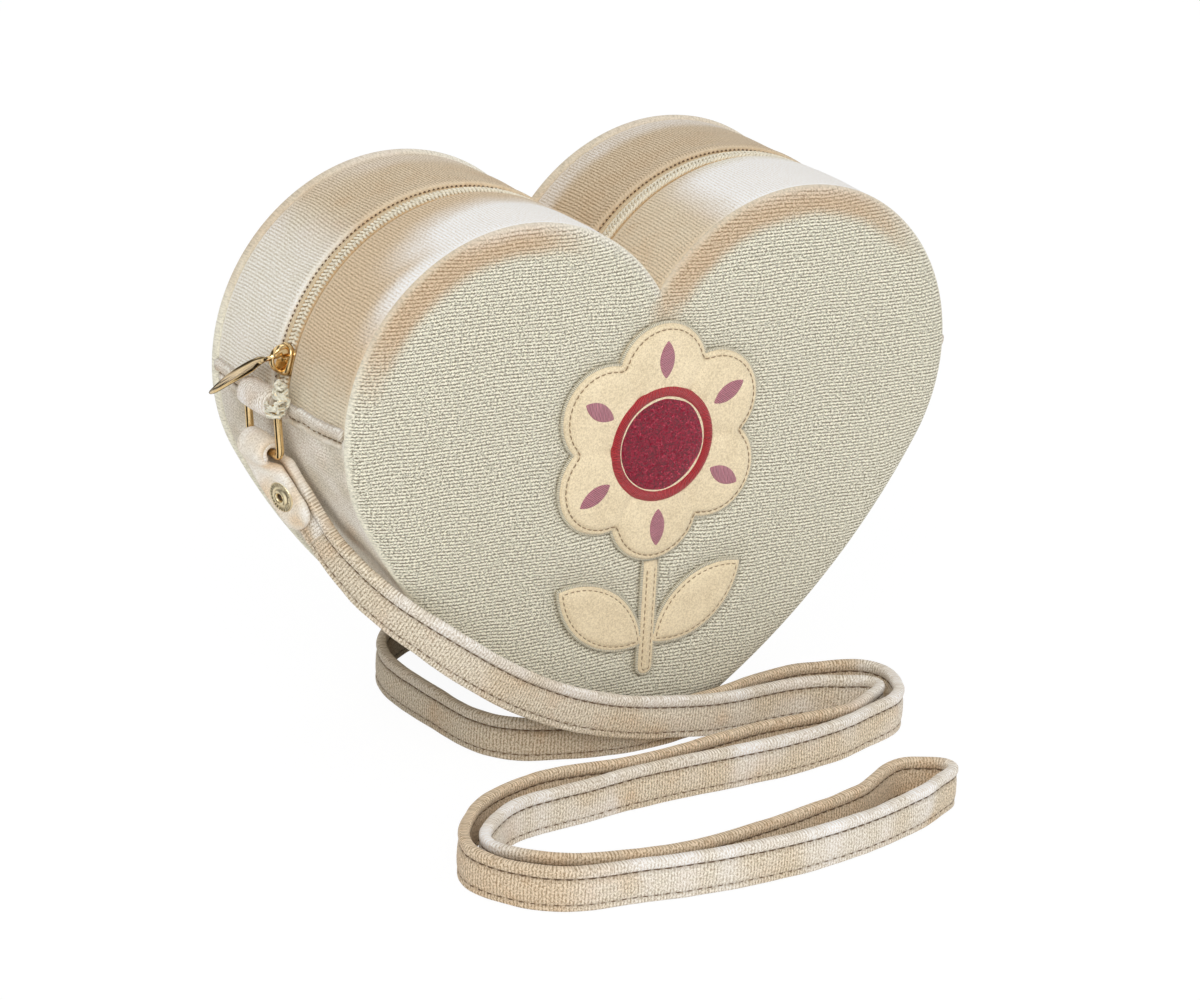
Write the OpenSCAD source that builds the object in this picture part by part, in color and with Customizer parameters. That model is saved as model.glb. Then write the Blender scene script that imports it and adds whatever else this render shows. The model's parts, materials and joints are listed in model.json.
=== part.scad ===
// A heart-shaped shoulder bag: two padded heart panels sewn to a narrow gusset, a zip over both
// lobes, a rectangular wire ring on each side and a flat fabric strap whose ends snap round the rings.
// Millimetres, +Z up. The bag stands on its rounded tip at the origin and its front faces -Y.

/* [Bag] */
// Width of the bag across both lobes
bag_w = 190; // [180:1:200]
// Radius of each upper lobe
lobe_r = 51.5; // [49:0.5:54]
// Height of the lobe centres above the bottom tip
lobe_z = 99.5; // [90:0.5:115]
// Radius of the rounded bottom tip
tip_r = 45; // [30:1:50]
// Angle below level at which each lobe runs into the long side
side_angle = 30; // [24:1:36]
// Width of the gusset cloth between the two panels
gusset_w = 67; // [56:1:80]
// Height of the soft crown of each panel outside the gusset
crown_h = 4.2; // [3:0.1:6]
// Width of the rounded edge of each panel
crown_w = 4.8; // [3:0.1:6]

/* [Cloth] */
// Thickness of the velvet
velvet_t = 1.6; // [1.2:0.1:1.8]
// Thickness of the foam padding
padding_t = 1.8; // [1.2:0.1:2]
// Thickness of the lining
lining_t = 0.6; // [0.4:0.1:0.8]
// Gap left between cloth layers
cloth_gap = 0.1; // [0.05:0.01:0.12]
// Thickness of the tape that binds the inner seams
binding_t = 1; // [0.6:0.1:1.2]
// Width of the tape that binds the inner seams
binding_w = 6; // [4:0.5:8]
// Radius of the folded ridge over each gusset seam
ridge_r = 0.8; // [0.6:0.05:0.9]

/* [Zip] */
// Width of the open slot between the two top gusset strips
slot_w = 8.4; // [8:0.2:10]
// Width of the closed coil
coil_w = 4.8; // [4.2:0.1:5]
// Gap between the two halves of the coil, where the slider's post runs
coil_gap = 1; // [0.9:0.1:1.2]
// Thickness of the coil
coil_t = 2.3; // [2:0.1:2.4]
// Depth of the coil's crest below the velvet
coil_depth = 0.6; // [0.5:0.1:0.8]
// Thickness of the zip tape
tape_t = 0.8; // [0.6:0.1:0.9]
// Half width of the zip tape, from the middle of the zip
tape_half_w = 12; // [10:0.5:14]
// Angle along the left lobe where the zip ends
zip_end_angle = 177; // [176:0.5:178]
// Length of each metal stop along the zip
stop_l = 1.4; // [1:0.1:1.5]
// Length of the slider
slider_l = 8.4; // [7:0.2:9]
// Width of the slider
slider_w = 6.8; // [6.4:0.1:7.2]
// Thickness of the slider's top plate
slider_t = 1.35; // [1.1:0.05:1.6]
// Angle along the left lobe where the closed slider rests
slider_angle = 167.6; // [166:0.2:168]
// Radius of the slider's wire arch
arch_r = 3.2; // [3:0.1:3.4]
// Radius of the wire of the arch
arch_wire_r = 0.7; // [0.65:0.05:0.8]
// Length of the leaf-shaped pull beyond its hole
pull_l = 29.5; // [24:0.5:30]
// Width of the leaf-shaped pull
pull_w = 7; // [6:0.5:8]
// Thickness of the pull
pull_t = 0.8; // [0.7:0.05:0.85]
// Turn of the resting pull, from the right towards the back
pull_turn = 102; // [98:0.5:104]
// Slope of the resting pull below level
pull_slope = 30; // [28:0.5:30]

/* [Rings and tabs] */
// Radius of the ring wire
wire_r = 1.1; // [0.9:0.05:1.2]
// Clear width inside the ring
ring_in_w = 13.6; // [13.2:0.1:15]
// Clear height inside the ring
ring_in_h = 10.8; // [10.4:0.1:12]
// Corner radius of the ring, to the middle of its wire
ring_corner_r = 2; // [1.6:0.1:2]
// Distance from the side of the bag to the plane of the ring
ring_out = 5; // [5:0.1:6]
// Height of the ring's top bar above the gusset seam
ring_rise = 0.5; // [0.2:0.1:1]
// Thickness of the tab's velvet round the top bar
tab_t = 2; // [1.6:0.1:2.1]
// Width of the tab
tab_w = 12.4; // [11:0.1:12.6]
// Height of the tab where it is sewn to the gusset
tab_h = 4.2; // [3:0.1:5]

/* [Strap] */
// Width of the strap
strap_w = 12; // [10:0.1:12.2]
// Thickness of the strap
strap_t = 2.6; // [2:0.1:2.8]
// Length of the strap end below the ring's lower bar
strap_end_l = 27.5; // [26:0.5:28]
// Length of the snapped flap below the ring's lower bar
flap_l = 24; // [22:0.5:25]
// Angle by which the strap end leans in towards the bag
end_tilt = 21; // [19:1:23]
// Angle by which the strap end veers along the bag
end_lean = 36; // [33:1:38]
// Distance from the ring's lower bar to the snap
snap_s = 14; // [13:0.1:14.5]
// Radius of the snap's outer rim
snap_r = 4.2; // [3.6:0.1:4.4]

/* [Flower] */
// Height of the middle of the flower above the bottom tip
flower_z = 86; // [80:1:90]
// Distance from the middle of the flower to the middle of a petal
petal_ring_r = 19.5; // [17:0.5:20]
// Radius of a petal
petal_r = 14; // [12:0.5:14.5]
// Number of petals
petals = 6; // [5:1:8]
// Radius of the glittering middle
glitter_r = 13.2; // [11:0.2:14]
// Radius of the satin bead round the middle
bead_r = 1.4; // [1:0.1:1.6]
// Thickness of the suede
suede_t = 0.7; // [0.5:0.1:0.9]
// Thickness of the padding under the flower
flower_padding_t = 0.9; // [0.6:0.1:1.2]

/* [Hidden] */
$fn = 48;
over = 1;

velvet = [0.87, 0.83, 0.75];
velvet_shade = [0.82, 0.73, 0.62];
suede = [0.9, 0.83, 0.7];
gold = [0.83, 0.66, 0.33];
foam = [0.95, 0.94, 0.9];
lining = [0.85, 0.78, 0.68];
zip_tan = [0.8, 0.71, 0.58];

// The heart outline: two lobes, two long sides tangent to the lobes, and a tip circle
lobe_x = bag_w / 2 - lobe_r;
lobe_step = 6;
side_steps = 12;
tip_steps = 8;
side_dir = [cos(side_angle), -sin(side_angle)];
tip_c = [0, tip_r];
tip_to_lobe = [lobe_x, lobe_z] - tip_c;
side_reach = (tip_to_lobe * tip_to_lobe - pow(lobe_r - tip_r, 2))
    / (2 * (tip_to_lobe * side_dir + lobe_r - tip_r));
side_r = side_reach + lobe_r;
side_c = [lobe_x, lobe_z] - side_reach * side_dir;
tip_dir = (tip_c - side_c) / norm(tip_c - side_c);
tip_angle = atan2(-tip_dir[1], tip_dir[0]);

function arc_point(c, r, t) = c + r * [cos(t), sin(t)];

// The lobes meet in the cleft. Lobes that stand apart are joined by straight lines down to a shallow cleft.
cleft_share = 0.35;
function cleft_rise(inset) = lobe_r * cleft_share - inset;
function cleft_reach(inset) = norm([lobe_x, cleft_rise(inset)]);
function apart(inset) = cleft_reach(inset) > lobe_r - inset;
function cleft_angle(inset) = apart(inset)
    ? atan2(cleft_rise(inset), -lobe_x) - acos((lobe_r - inset) / cleft_reach(inset))
    : acos(-lobe_x / (lobe_r - inset));
function lobe_count(inset) = floor((cleft_angle(inset) + side_angle) / lobe_step - 1 / 3);
function right_half(inset) = concat(
    apart(inset) ? [[0, lobe_z + cleft_rise(inset)]] : [],
    [arc_point([lobe_x, lobe_z], lobe_r - inset, cleft_angle(inset))],
    [for (i = [lobe_count(inset) : -1 : 0])
        arc_point([lobe_x, lobe_z], lobe_r - inset, lobe_step * i - side_angle)],
    [for (i = [1 : side_steps])
        arc_point(side_c, side_r - inset, -side_angle - (tip_angle - side_angle) * i / side_steps)],
    [for (i = [1 : tip_steps])
        arc_point(tip_c, tip_r - inset, -tip_angle - (90 - tip_angle) * i / tip_steps)]);
function mirrored(points) = [for (i = [len(points) - 2 : -1 : 1]) [-points[i][0], points[i][1]]];

module heart(inset = 0) {
    half = right_half(inset);
    polygon(concat(half, mirrored(half)));
}

// A heart slab from y0 to y1, drawn in by inset all round
module slab(y0, y1, inset) {
    translate([0, y1, 0]) rotate([90, 0, 0]) linear_extrude(y1 - y0) heart(inset);
}

// A shell that follows the outline between two insets
module band(y0, y1, inset0, inset1) {
    difference() {
        slab(y0, y1, inset0);
        slab(y0 - over, y1 + over, inset1);
    }
}

module above(z) {
    intersection() {
        children();
        translate([-bag_w, -bag_w, z]) cube([2 * bag_w, 2 * bag_w, 2 * bag_w]);
    }
}

module below(z) {
    intersection() {
        children();
        translate([-bag_w, -bag_w, z - 2 * bag_w]) cube([2 * bag_w, 2 * bag_w, 2 * bag_w]);
    }
}

// Depths of the layers, from the middle of the bag outwards
seam_y = gusset_w / 2;
layer_y = seam_y - cloth_gap;
padding_y = layer_y - padding_t;
lining_y = padding_y - cloth_gap - lining_t;
shell_y = lining_y - cloth_gap;
seam_z = lobe_z;
side_x = bag_w / 2;

// Insets of the layers round the outline
padding_in = velvet_t + cloth_gap;
lining_in = padding_in + padding_t + cloth_gap;
binding_in = lining_in + lining_t + cloth_gap;
tape_in = velvet_t + cloth_gap;
lining_slot_share = 0.5;

// The crown of a panel rises in steps along a quarter round
crown_steps = 5;
module crown(height) {
    for (i = [0 : crown_steps - 1])
        slab(seam_y, seam_y + height * sin(90 * (i + 1) / crown_steps),
            crown_w * (cos(45 / crown_steps) - cos(90 * (i + 0.5) / crown_steps)));
}

module turned() {
    rotate([0, 0, 180]) children();
}

// The back panel's crown matches the front with its flower, so the bag's middle is the origin
flower_stack = flower_padding_t + suede_t + bead_r / 2;
front_face = seam_y + crown_h;

module front_panel() {
    color(velvet) turned() crown(crown_h);
}

module back_panel() {
    color(velvet) crown(crown_h + flower_stack);
}

module panel_padding() {
    slab(padding_y, layer_y, padding_in);
}

module panel_lining() {
    slab(lining_y, lining_y + lining_t, padding_in);
}

module front_padding() {
    color(foam) turned() panel_padding();
}

module back_padding() {
    color(foam) panel_padding();
}

module front_lining() {
    color(lining) turned() panel_lining();
}

module back_lining() {
    color(lining) panel_lining();
}

module top_gusset_front() {
    color(velvet_shade) above(seam_z + cloth_gap) band(-layer_y, -slot_w / 2, 0, velvet_t);
}

module top_gusset_rear() {
    color(velvet_shade) above(seam_z + cloth_gap) band(slot_w / 2, layer_y, 0, velvet_t);
}

module base_gusset() {
    color(velvet) below(seam_z) band(-layer_y, layer_y, 0, velvet_t);
}

module top_padding_front() {
    color(foam) above(seam_z + cloth_gap)
        band(-shell_y, -tape_half_w - cloth_gap, padding_in, padding_in + padding_t);
}

module top_padding_rear() {
    color(foam) above(seam_z + cloth_gap)
        band(tape_half_w + cloth_gap, shell_y, padding_in, padding_in + padding_t);
}

module base_padding() {
    color(foam) below(seam_z) band(-shell_y, shell_y, padding_in, padding_in + padding_t);
}

module top_lining_front() {
    color(lining) above(seam_z + cloth_gap)
        band(-shell_y, -tape_half_w * lining_slot_share, lining_in, lining_in + lining_t);
}

module top_lining_rear() {
    color(lining) above(seam_z + cloth_gap)
        band(tape_half_w * lining_slot_share, shell_y, lining_in, lining_in + lining_t);
}

module base_lining() {
    color(lining) below(seam_z) band(-shell_y, shell_y, lining_in, lining_in + lining_t);
}

module front_binding() {
    color(velvet_shade) band(-shell_y, -shell_y + binding_w, binding_in, binding_in + binding_t);
}

module rear_binding() {
    color(velvet_shade) band(shell_y - binding_w, shell_y, binding_in, binding_in + binding_t);
}

// The folded edge that covers the seam between the top and base gussets
module gusset_ridge() {
    translate([-side_x - ridge_r - cloth_gap / 2, layer_y, seam_z]) rotate([90, 0, 0])
        cylinder(r = ridge_r, h = 2 * layer_y);
}

module gusset_ridge_left() {
    color(velvet) gusset_ridge();
}

module gusset_ridge_right() {
    color(velvet) turned() gusset_ridge();
}

// Angles and heights along the zip
function along(length) = length / lobe_r * 180 / PI;
stop_angle = zip_end_angle - along(stop_l);
coil_z = lobe_z + (lobe_r - coil_depth) * sin(180 - stop_angle + along(cloth_gap));
end_tab_z = lobe_z + (lobe_r - coil_depth - coil_t) * sin(180 - zip_end_angle) - cloth_gap;

// A block that follows the left lobe between two angles and two radii
module lobe_sector(a0, a1, r0, r1, y0, y1) {
    translate([-lobe_x, 0, lobe_z]) rotate([90, 0, 0]) rotate([0, 0, a0])
        rotate_extrude(angle = a1 - a0) translate([r0, -y1]) square([r1 - r0, y1 - y0]);
}

module zip_tape() {
    above(seam_z + cloth_gap) band(coil_w / 2 + cloth_gap / 2, tape_half_w, tape_in, tape_in + tape_t);
}

module zip_coil() {
    above(coil_z) band(coil_gap / 2, coil_w / 2, coil_depth, coil_depth + coil_t);
}

module zip_tape_front() {
    color(zip_tan) turned() zip_tape();
}

module zip_tape_rear() {
    color(zip_tan) zip_tape();
}

module zip_coil_front() {
    color(zip_tan) turned() zip_coil();
}

module zip_coil_rear() {
    color(zip_tan) zip_coil();
}

// The piece of velvet that closes the slot below each end of the zip
module zip_end_tab() {
    left_half() below(end_tab_z) above(seam_z + cloth_gap)
        band(-slot_w / 2 + cloth_gap, slot_w / 2 - cloth_gap, 0, velvet_t);
}

module left_half() {
    intersection() {
        children();
        translate([-2 * bag_w, -bag_w, -bag_w]) cube([2 * bag_w, 2 * bag_w, 3 * bag_w]);
    }
}

module zip_end_tab_left() {
    color(velvet_shade) zip_end_tab();
}

module zip_end_tab_right() {
    color(velvet_shade) turned() zip_end_tab();
}

module zip_stop() {
    lobe_sector(stop_angle, zip_end_angle, lobe_r - coil_depth - coil_t, lobe_r - coil_depth,
        -coil_w / 2, coil_w / 2);
}

module zip_stop_left() {
    color(gold) zip_stop();
}

module zip_stop_right() {
    color(gold) turned() zip_stop();
}

// The slider: a top and a bottom plate joined by a post between the coils
slider_gap = 0.2;
slider_wall = 0.7;
post_l = 2;
slider_r0 = lobe_r - coil_depth + slider_gap;
slider_r1 = slider_r0 + slider_t;
slider_half = along(slider_l / 2);
wall_r0 = lobe_r - tape_in + slider_gap;
bottom_r1 = lobe_r - coil_depth - coil_t - slider_gap - ridge_r / 10;
bottom_r0 = bottom_r1 - tape_t;
post_half_w = coil_gap / 2 - slider_gap * 0.75;

module zip_slider() {
    a0 = slider_angle - slider_half;
    a1 = slider_angle + slider_half;
    color(gold) {
        lobe_sector(a0, a1, slider_r0, slider_r1, -slider_w / 2, slider_w / 2);
        for (side = [-1, 1]) {
            y = side * (slider_w - slider_wall) / 2;
            lobe_sector(a0, a1, wall_r0, slider_r0 + slider_gap, y - slider_wall / 2, y + slider_wall / 2);
        }
        lobe_sector(slider_angle - along(post_l) / 2, slider_angle + along(post_l) / 2,
            bottom_r0, slider_r1, -post_half_w, post_half_w);
        lobe_sector(a0, a1, bottom_r0, bottom_r1, -coil_w / 2, coil_w / 2);
    }
}

// Frame on the slider: +X leads out of the lobe, +Z runs along the zip
module on_slider(r) {
    translate([-lobe_x, 0, lobe_z]) rotate([0, -slider_angle, 0]) translate([r, 0, 0]) children();
}

module slider_arch() {
    color(gold) on_slider(slider_r1) rotate([90, 0, 0]) rotate([0, 0, -90])
        rotate_extrude(angle = 180) translate([arch_r, 0]) circle(r = arch_wire_r);
}

// The pull hangs on the top of the arch
pull_hole_gap = 1.2;
pull_rim = 1.15;
pull_hole_r = arch_wire_r + pull_hole_gap;
pull_eye_r = pull_hole_r + pull_rim;
pull_r = slider_r1 + arch_r;
pull_pos = [-lobe_x + pull_r * cos(slider_angle), 0, lobe_z + pull_r * sin(slider_angle)];

// A pointed leaf outline, of the given length and width, along X about its middle
module leaf_outline(length, width) {
    r = (length * length + width * width) / (4 * width);
    intersection_for(side = [-1, 1]) translate([0, side * (r - width / 2)]) circle(r = r, $fn = 96);
}

module zip_pull() {
    start = pull_eye_r / 2;
    color(gold) translate(pull_pos) rotate([0, pull_slope, pull_turn])
        translate([0, 0, -pull_t / 2]) linear_extrude(pull_t) difference() {
            union() {
                circle(r = pull_eye_r);
                translate([(pull_l + start) / 2, 0]) leaf_outline(pull_l - start, pull_w);
            }
            circle(r = pull_hole_r);
        }
}

// Ring, tab and strap end are placed on the left and turned half round for the right
ring_x = side_x + ring_out;
ring_w = ring_in_w + 2 * wire_r;
ring_h = ring_in_h + 2 * wire_r;
ring_top_z = seam_z + ring_rise;
ring_low_z = ring_top_z - ring_h;
wire_gap = 0.08;

// A closed rectangle of round wire with round corners, flat in XY about the origin
module wire_frame(w, h, corner, r) {
    for (side = [-1, 1]) {
        translate([-w / 2 + corner, side * h / 2, 0]) rotate([0, 90, 0]) cylinder(r = r, h = w - 2 * corner);
        translate([side * w / 2, h / 2 - corner, 0]) rotate([90, 0, 0]) cylinder(r = r, h = h - 2 * corner);
    }
    for (turn = [0, 90, 180, 270]) {
        x = (turn == 0 || turn == 270 ? 1 : -1) * (w / 2 - corner);
        y = (turn < 180 ? 1 : -1) * (h / 2 - corner);
        translate([x, y, 0]) rotate([0, 0, turn])
            rotate_extrude(angle = 90) translate([corner, 0]) circle(r = r);
    }
}

module ring() {
    translate([-ring_x, 0, (ring_top_z + ring_low_z) / 2]) rotate([90, 0, 90])
        wire_frame(ring_w, ring_h, ring_corner_r, wire_r);
}

module ring_left() {
    color(gold) ring();
}

module ring_right() {
    color(gold) turned() ring();
}

// The tab is a velvet loop round the ring's top bar, sewn in below the gusset ridge
module ring_tab() {
    tab_r = wire_r + wire_gap + tab_t;
    sewn_x = -side_x - cloth_gap / 2;
    sewn_top = seam_z - ridge_r - cloth_gap;
    translate([0, tab_w / 2, 0]) rotate([90, 0, 0]) linear_extrude(tab_w) difference() {
        union() {
            translate([-ring_x, ring_top_z]) circle(r = tab_r);
            polygon([[-ring_x - tab_r * sin(60), ring_top_z - tab_r * cos(60)],
                [sewn_x, sewn_top - tab_h], [sewn_x, sewn_top],
                [-ring_x + tab_r * sin(60), sewn_top], [-ring_x, ring_top_z]]);
        }
        translate([-ring_x, ring_top_z]) circle(r = wire_r + wire_gap);
    }
}

module ring_tab_left() {
    color(velvet) ring_tab();
}

module ring_tab_right() {
    color(velvet) turned() ring_tab();
}

// A short cord knotted round the front leg of the left ring
cord_r = 0.6;
knot_r = 1.6;
knot_drop = 1.4;
module knot_cord() {
    leg_y = -ring_w / 2;
    wrap_r = wire_r + cord_r + wire_gap;
    tab_low_z = ring_top_z - wire_r - wire_gap - tab_t;
    wrap_top = tab_low_z - cord_r - knot_drop;
    strand_z = wrap_top - 3 * cord_r;
    color([0.93, 0.9, 0.8]) translate([-ring_x, leg_y, 0]) {
        for (i = [0, 1]) translate([0, 0, wrap_top - 2.2 * cord_r * i])
            rotate_extrude() translate([wrap_r, 0]) circle(r = cord_r);
        translate([0, -wrap_r, strand_z]) cylinder(r = cord_r, h = ring_top_z + wire_r + knot_r - strand_z);
        translate([0, -wrap_r / 2, ring_top_z + wire_r + knot_r + wire_gap]) sphere(r = knot_r);
    }
}

// Frame of the strap end: origin on the ring's lower bar, -Z along the leaf, -X outwards
module on_strap_end() {
    translate([-ring_x, 0, ring_low_z]) rotate([0, -end_tilt, 0]) rotate([-end_lean, 0, 0]) children();
}

leaf_gap = 0.15;
snap_seat_r = snap_r * 0.76;
snap_body_r = snap_seat_r - cloth_gap;
stud_r = snap_r * 0.31;
socket_hole_r = stud_r + 0.7;
snap_flange_t = 0.6;
socket_web_t = 0.7;

module bar_bore(r, w) {
    translate([-ring_x, w / 2, ring_low_z]) rotate([90, 0, 0]) cylinder(r = r, h = w);
}

// A drum on the snap's axis, from x0 to x1 across the leaves
module snap_drum(r, x0, x1) {
    on_strap_end() translate([x0, 0, -snap_s]) rotate([0, 90, 0]) cylinder(r = r, h = x1 - x0);
}

module strap_end() {
    sleeve_w = strap_w - 2 * wire_gap - leaf_gap;
    clear_z = ring_low_z - wire_r - 2 * leaf_gap;
    difference() {
        union() {
            bar_bore(wire_r + wire_gap + strap_t, sleeve_w);
            difference() {
                on_strap_end() translate([leaf_gap, -strap_w / 2, -strap_end_l])
                    cube([strap_t, strap_w, strap_end_l]);
                translate([-2 * ring_x, -ring_x, clear_z]) cube(2 * ring_x);
            }
        }
        bar_bore(wire_r + wire_gap, strap_w + over);
        snap_drum(snap_seat_r, -leaf_gap, strap_t + over);
    }
}

module strap_end_left() {
    color(velvet) strap_end();
}

module strap_end_right() {
    color(velvet) turned() strap_end();
}

module strap_flap() {
    difference() {
        on_strap_end() translate([-leaf_gap - strap_t, -strap_w / 2, -flap_l]) cube([strap_t, strap_w, flap_l]);
        bar_bore(wire_r + wire_gap + strap_t + leaf_gap, 2 * strap_w);
        translate([-2 * ring_x, -ring_x, ring_low_z]) cube(2 * ring_x);
        snap_drum(snap_seat_r, -strap_t - over, leaf_gap);
    }
}

module strap_flap_left() {
    color(velvet) strap_flap();
}

module strap_flap_right() {
    color(velvet) turned() strap_flap();
}

module snap_stud() {
    snap_drum(snap_body_r, leaf_gap, leaf_gap + strap_t);
    snap_drum(stud_r, -strap_t + socket_web_t, leaf_gap + over / 2);
}

module snap_stud_left() {
    color(gold) snap_stud();
}

module snap_stud_right() {
    color(gold) turned() snap_stud();
}

module snap_post() {
    snap_drum(snap_r, leaf_gap + strap_t, leaf_gap + strap_t + snap_flange_t);
}

module snap_post_left() {
    color(gold) snap_post();
}

module snap_post_right() {
    color(gold) turned() snap_post();
}

module snap_socket() {
    difference() {
        snap_drum(snap_body_r, -leaf_gap - strap_t, -leaf_gap);
        snap_drum(socket_hole_r, -strap_t - leaf_gap + socket_web_t, leaf_gap);
    }
}

module snap_socket_left() {
    color(gold) snap_socket();
}

module snap_socket_right() {
    color(gold) turned() snap_socket();
}

// The outer rim of the snap, with a raised eyelet and a small hole
module snap_cap() {
    face = -leaf_gap - strap_t;
    difference() {
        union() {
            snap_drum(snap_r, face - snap_flange_t, face);
            snap_drum(snap_r / 2, face - 2 * snap_flange_t, face);
        }
        snap_drum(snap_r / 5, face - 3 * snap_flange_t, face - snap_flange_t / 2);
    }
}

module snap_cap_left() {
    color(gold) snap_cap();
}

module snap_cap_right() {
    color(gold) turned() snap_cap();
}

// The flower on the front panel, in the frame of the panel's face
module on_front(depth0, depth1) {
    translate([0, -front_face - depth0, 0]) rotate([90, 0, 0]) linear_extrude(depth1 - depth0) children();
}

module flower_outline(inset) {
    translate([0, flower_z]) {
        circle(r = petal_ring_r - inset);
        for (i = [0 : petals - 1]) rotate(360 * i / petals + 90) translate([petal_ring_r, 0])
            circle(r = petal_r - inset);
    }
}

padding_edge = 2.5;
module flower_padding() {
    color(foam) on_front(0, flower_padding_t) flower_outline(padding_edge);
}

module flower() {
    color(suede) difference() {
        on_front(0, flower_padding_t + suede_t) flower_outline(0);
        on_front(-over, flower_padding_t) flower_outline(padding_edge - cloth_gap);
    }
}

flower_top = flower_padding_t + suede_t;
mark_shares = [0.8, 0.36];
module petal_marks() {
    color([0.76, 0.5, 0.55]) on_front(flower_top, flower_top + suede_t / 2) translate([0, flower_z])
        for (i = [0 : petals - 1]) rotate(360 * i / petals + 90)
            translate([petal_ring_r + petal_r * 0.3, 0])
                leaf_outline(petal_r * mark_shares[0], petal_r * mark_shares[1]);
}

bead_ring_r = glitter_r + bead_r + cloth_gap;
module flower_middle() {
    color([0.5, 0.04, 0.1]) on_front(flower_top, flower_top + bead_r / 3)
        translate([0, flower_z]) circle(r = glitter_r);
}

module flower_bead() {
    color([0.78, 0.06, 0.12]) on_front(flower_top, flower_top + bead_r / 2) translate([0, flower_z])
        difference() {
            circle(r = bead_ring_r + bead_r);
            circle(r = bead_ring_r - bead_r);
        }
}

// Stem and leaves, placed as shares of the flower's height
stem_shares = [0.22, 0.66];
stem_w = 5;
leaf_l = 34;
leaf_w = 16;
leaf_turn = 35;
leaf_x = 15.5;
leaf_z_share = 0.44;
module stem_and_leaves() {
    color(suede) on_front(0, suede_t + flower_padding_t / 2) difference() {
        union() {
            translate([-stem_w / 2, flower_z * stem_shares[0]])
                square([stem_w, flower_z * (stem_shares[1] - stem_shares[0])]);
            for (side = [-1, 1]) translate([side * leaf_x, flower_z * leaf_z_share]) rotate(side * leaf_turn)
                leaf_outline(leaf_l, leaf_w);
        }
        flower_outline(-cloth_gap);
    }
}

// The strap: a flat band swept along hand-chosen points, from the left strap end to the right one.
// It stands on its edge on the floor in front of the bag and passes behind it.
strap_points = [[-90.6, -16.4, 66.4], [-84, -28, 54.8], [-69.5, -43, 42], [-32, -47.5, 19], [12, -48, 8.5],
    [58, -47.5, 6], [67, -54, 6], [58, -62, 6], [16, -66, 6], [-25, -70, 6],
    [-54, -68, 6], [-80, -80, 6], [-92, -100, 6], [-82, -118, 6], [-55, -125.5, 6],
    [20, -124, 6], [42, -116, 6], [51, -109, 6], [44, -103, 6], [19, -112, 6],
    [-18, -119.5, 6], [-55, -120, 6], [-78, -111, 6], [-86, -98, 6], [-74, -84, 6],
    [-38, -77, 6], [50, -70, 6], [70, -60, 6], [73, -45, 6], [57, -37, 6],
    [20, -41, 6], [-15, -43, 6], [-42, -32, 6], [-47.5, -5, 6], [-42, 31, 6],
    [-12, 48.5, 7.5], [32, 47.5, 19], [69.5, 43, 42], [84, 28, 54.8], [90.6, 16.4, 66.4]];
strap_last = len(strap_points) - 1;
end_dir = [0.29, -0.588, -0.755];
end_roll = 33.6;
roll_share = 1 / 8;
rings_per_step = 2;

function unit(v) = v / norm(v);
function leg(i) = strap_points[i + 1] - strap_points[i];
function route_dir(i) = i == 0 ? end_dir : i == strap_last ? [end_dir[0], end_dir[1], -end_dir[2]]
    : unit(unit(leg(i - 1)) * norm(leg(i)) + unit(leg(i)) * norm(leg(i - 1)));
function route_point(i, t) = let (l = norm(leg(i)))
    (2 * t * t * t - 3 * t * t + 1) * strap_points[i] + (t * t * t - 2 * t * t + t) * l * route_dir(i)
    + (3 * t * t - 2 * t * t * t) * strap_points[i + 1] + (t * t * t - t * t) * l * route_dir(i + 1);
function route_tangent(i, t) = let (l = norm(leg(i)))
    unit((6 * t * t - 6 * t) * strap_points[i] + (3 * t * t - 4 * t + 1) * l * route_dir(i)
    + (6 * t - 6 * t * t) * strap_points[i + 1] + (3 * t * t - 2 * t) * l * route_dir(i + 1));
// The band lies against its end leaf at both ends and turns onto its edge within the first points
function roll(s) = end_roll * (max(0, 1 - s / (strap_last * roll_share / 2))
    - max(0, 1 - (strap_last - s) / (strap_last * roll_share / 2)));
function width_dir(t, a) = let (up = unit([0, 0, 1] - t[2] * t), side = cross(t, up)) up * cos(a) + side * sin(a);

edge_share = 0.87;
chamfer_share = 0.5;
strap_section = [[-1, -chamfer_share], [-edge_share, -1], [edge_share, -1], [1, -chamfer_share],
    [1, chamfer_share], [edge_share, 1], [-edge_share, 1], [-1, chamfer_share]];
function strap_ring(i, t) = let (p = route_point(i, t), d = route_tangent(i, t), w = width_dir(d, roll(i + t)),
    n = cross(w, d)) [for (q = strap_section) p + w * q[0] * strap_w / 2 + n * q[1] * strap_t / 2];
strap_rings = concat([for (i = [0 : strap_last - 1], k = [0 : rings_per_step - 1]) strap_ring(i, k / rings_per_step)],
    [strap_ring(strap_last - 1, 1)]);

module strap() {
    sides = len(strap_section);
    rings = len(strap_rings);
    points = [for (ring = strap_rings, p = ring) p];
    walls = [for (k = [0 : rings - 2], j = [0 : sides - 1]) let (a = k * sides + j, b = k * sides + (j + 1) % sides)
        each [[a, b, b + sides], [a, b + sides, a + sides]]];
    caps = [[for (j = [sides - 1 : -1 : 0]) j], [for (j = [0 : sides - 1]) (rings - 1) * sides + j]];
    color(velvet) polyhedron(points, concat(walls, caps));
}

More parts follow.
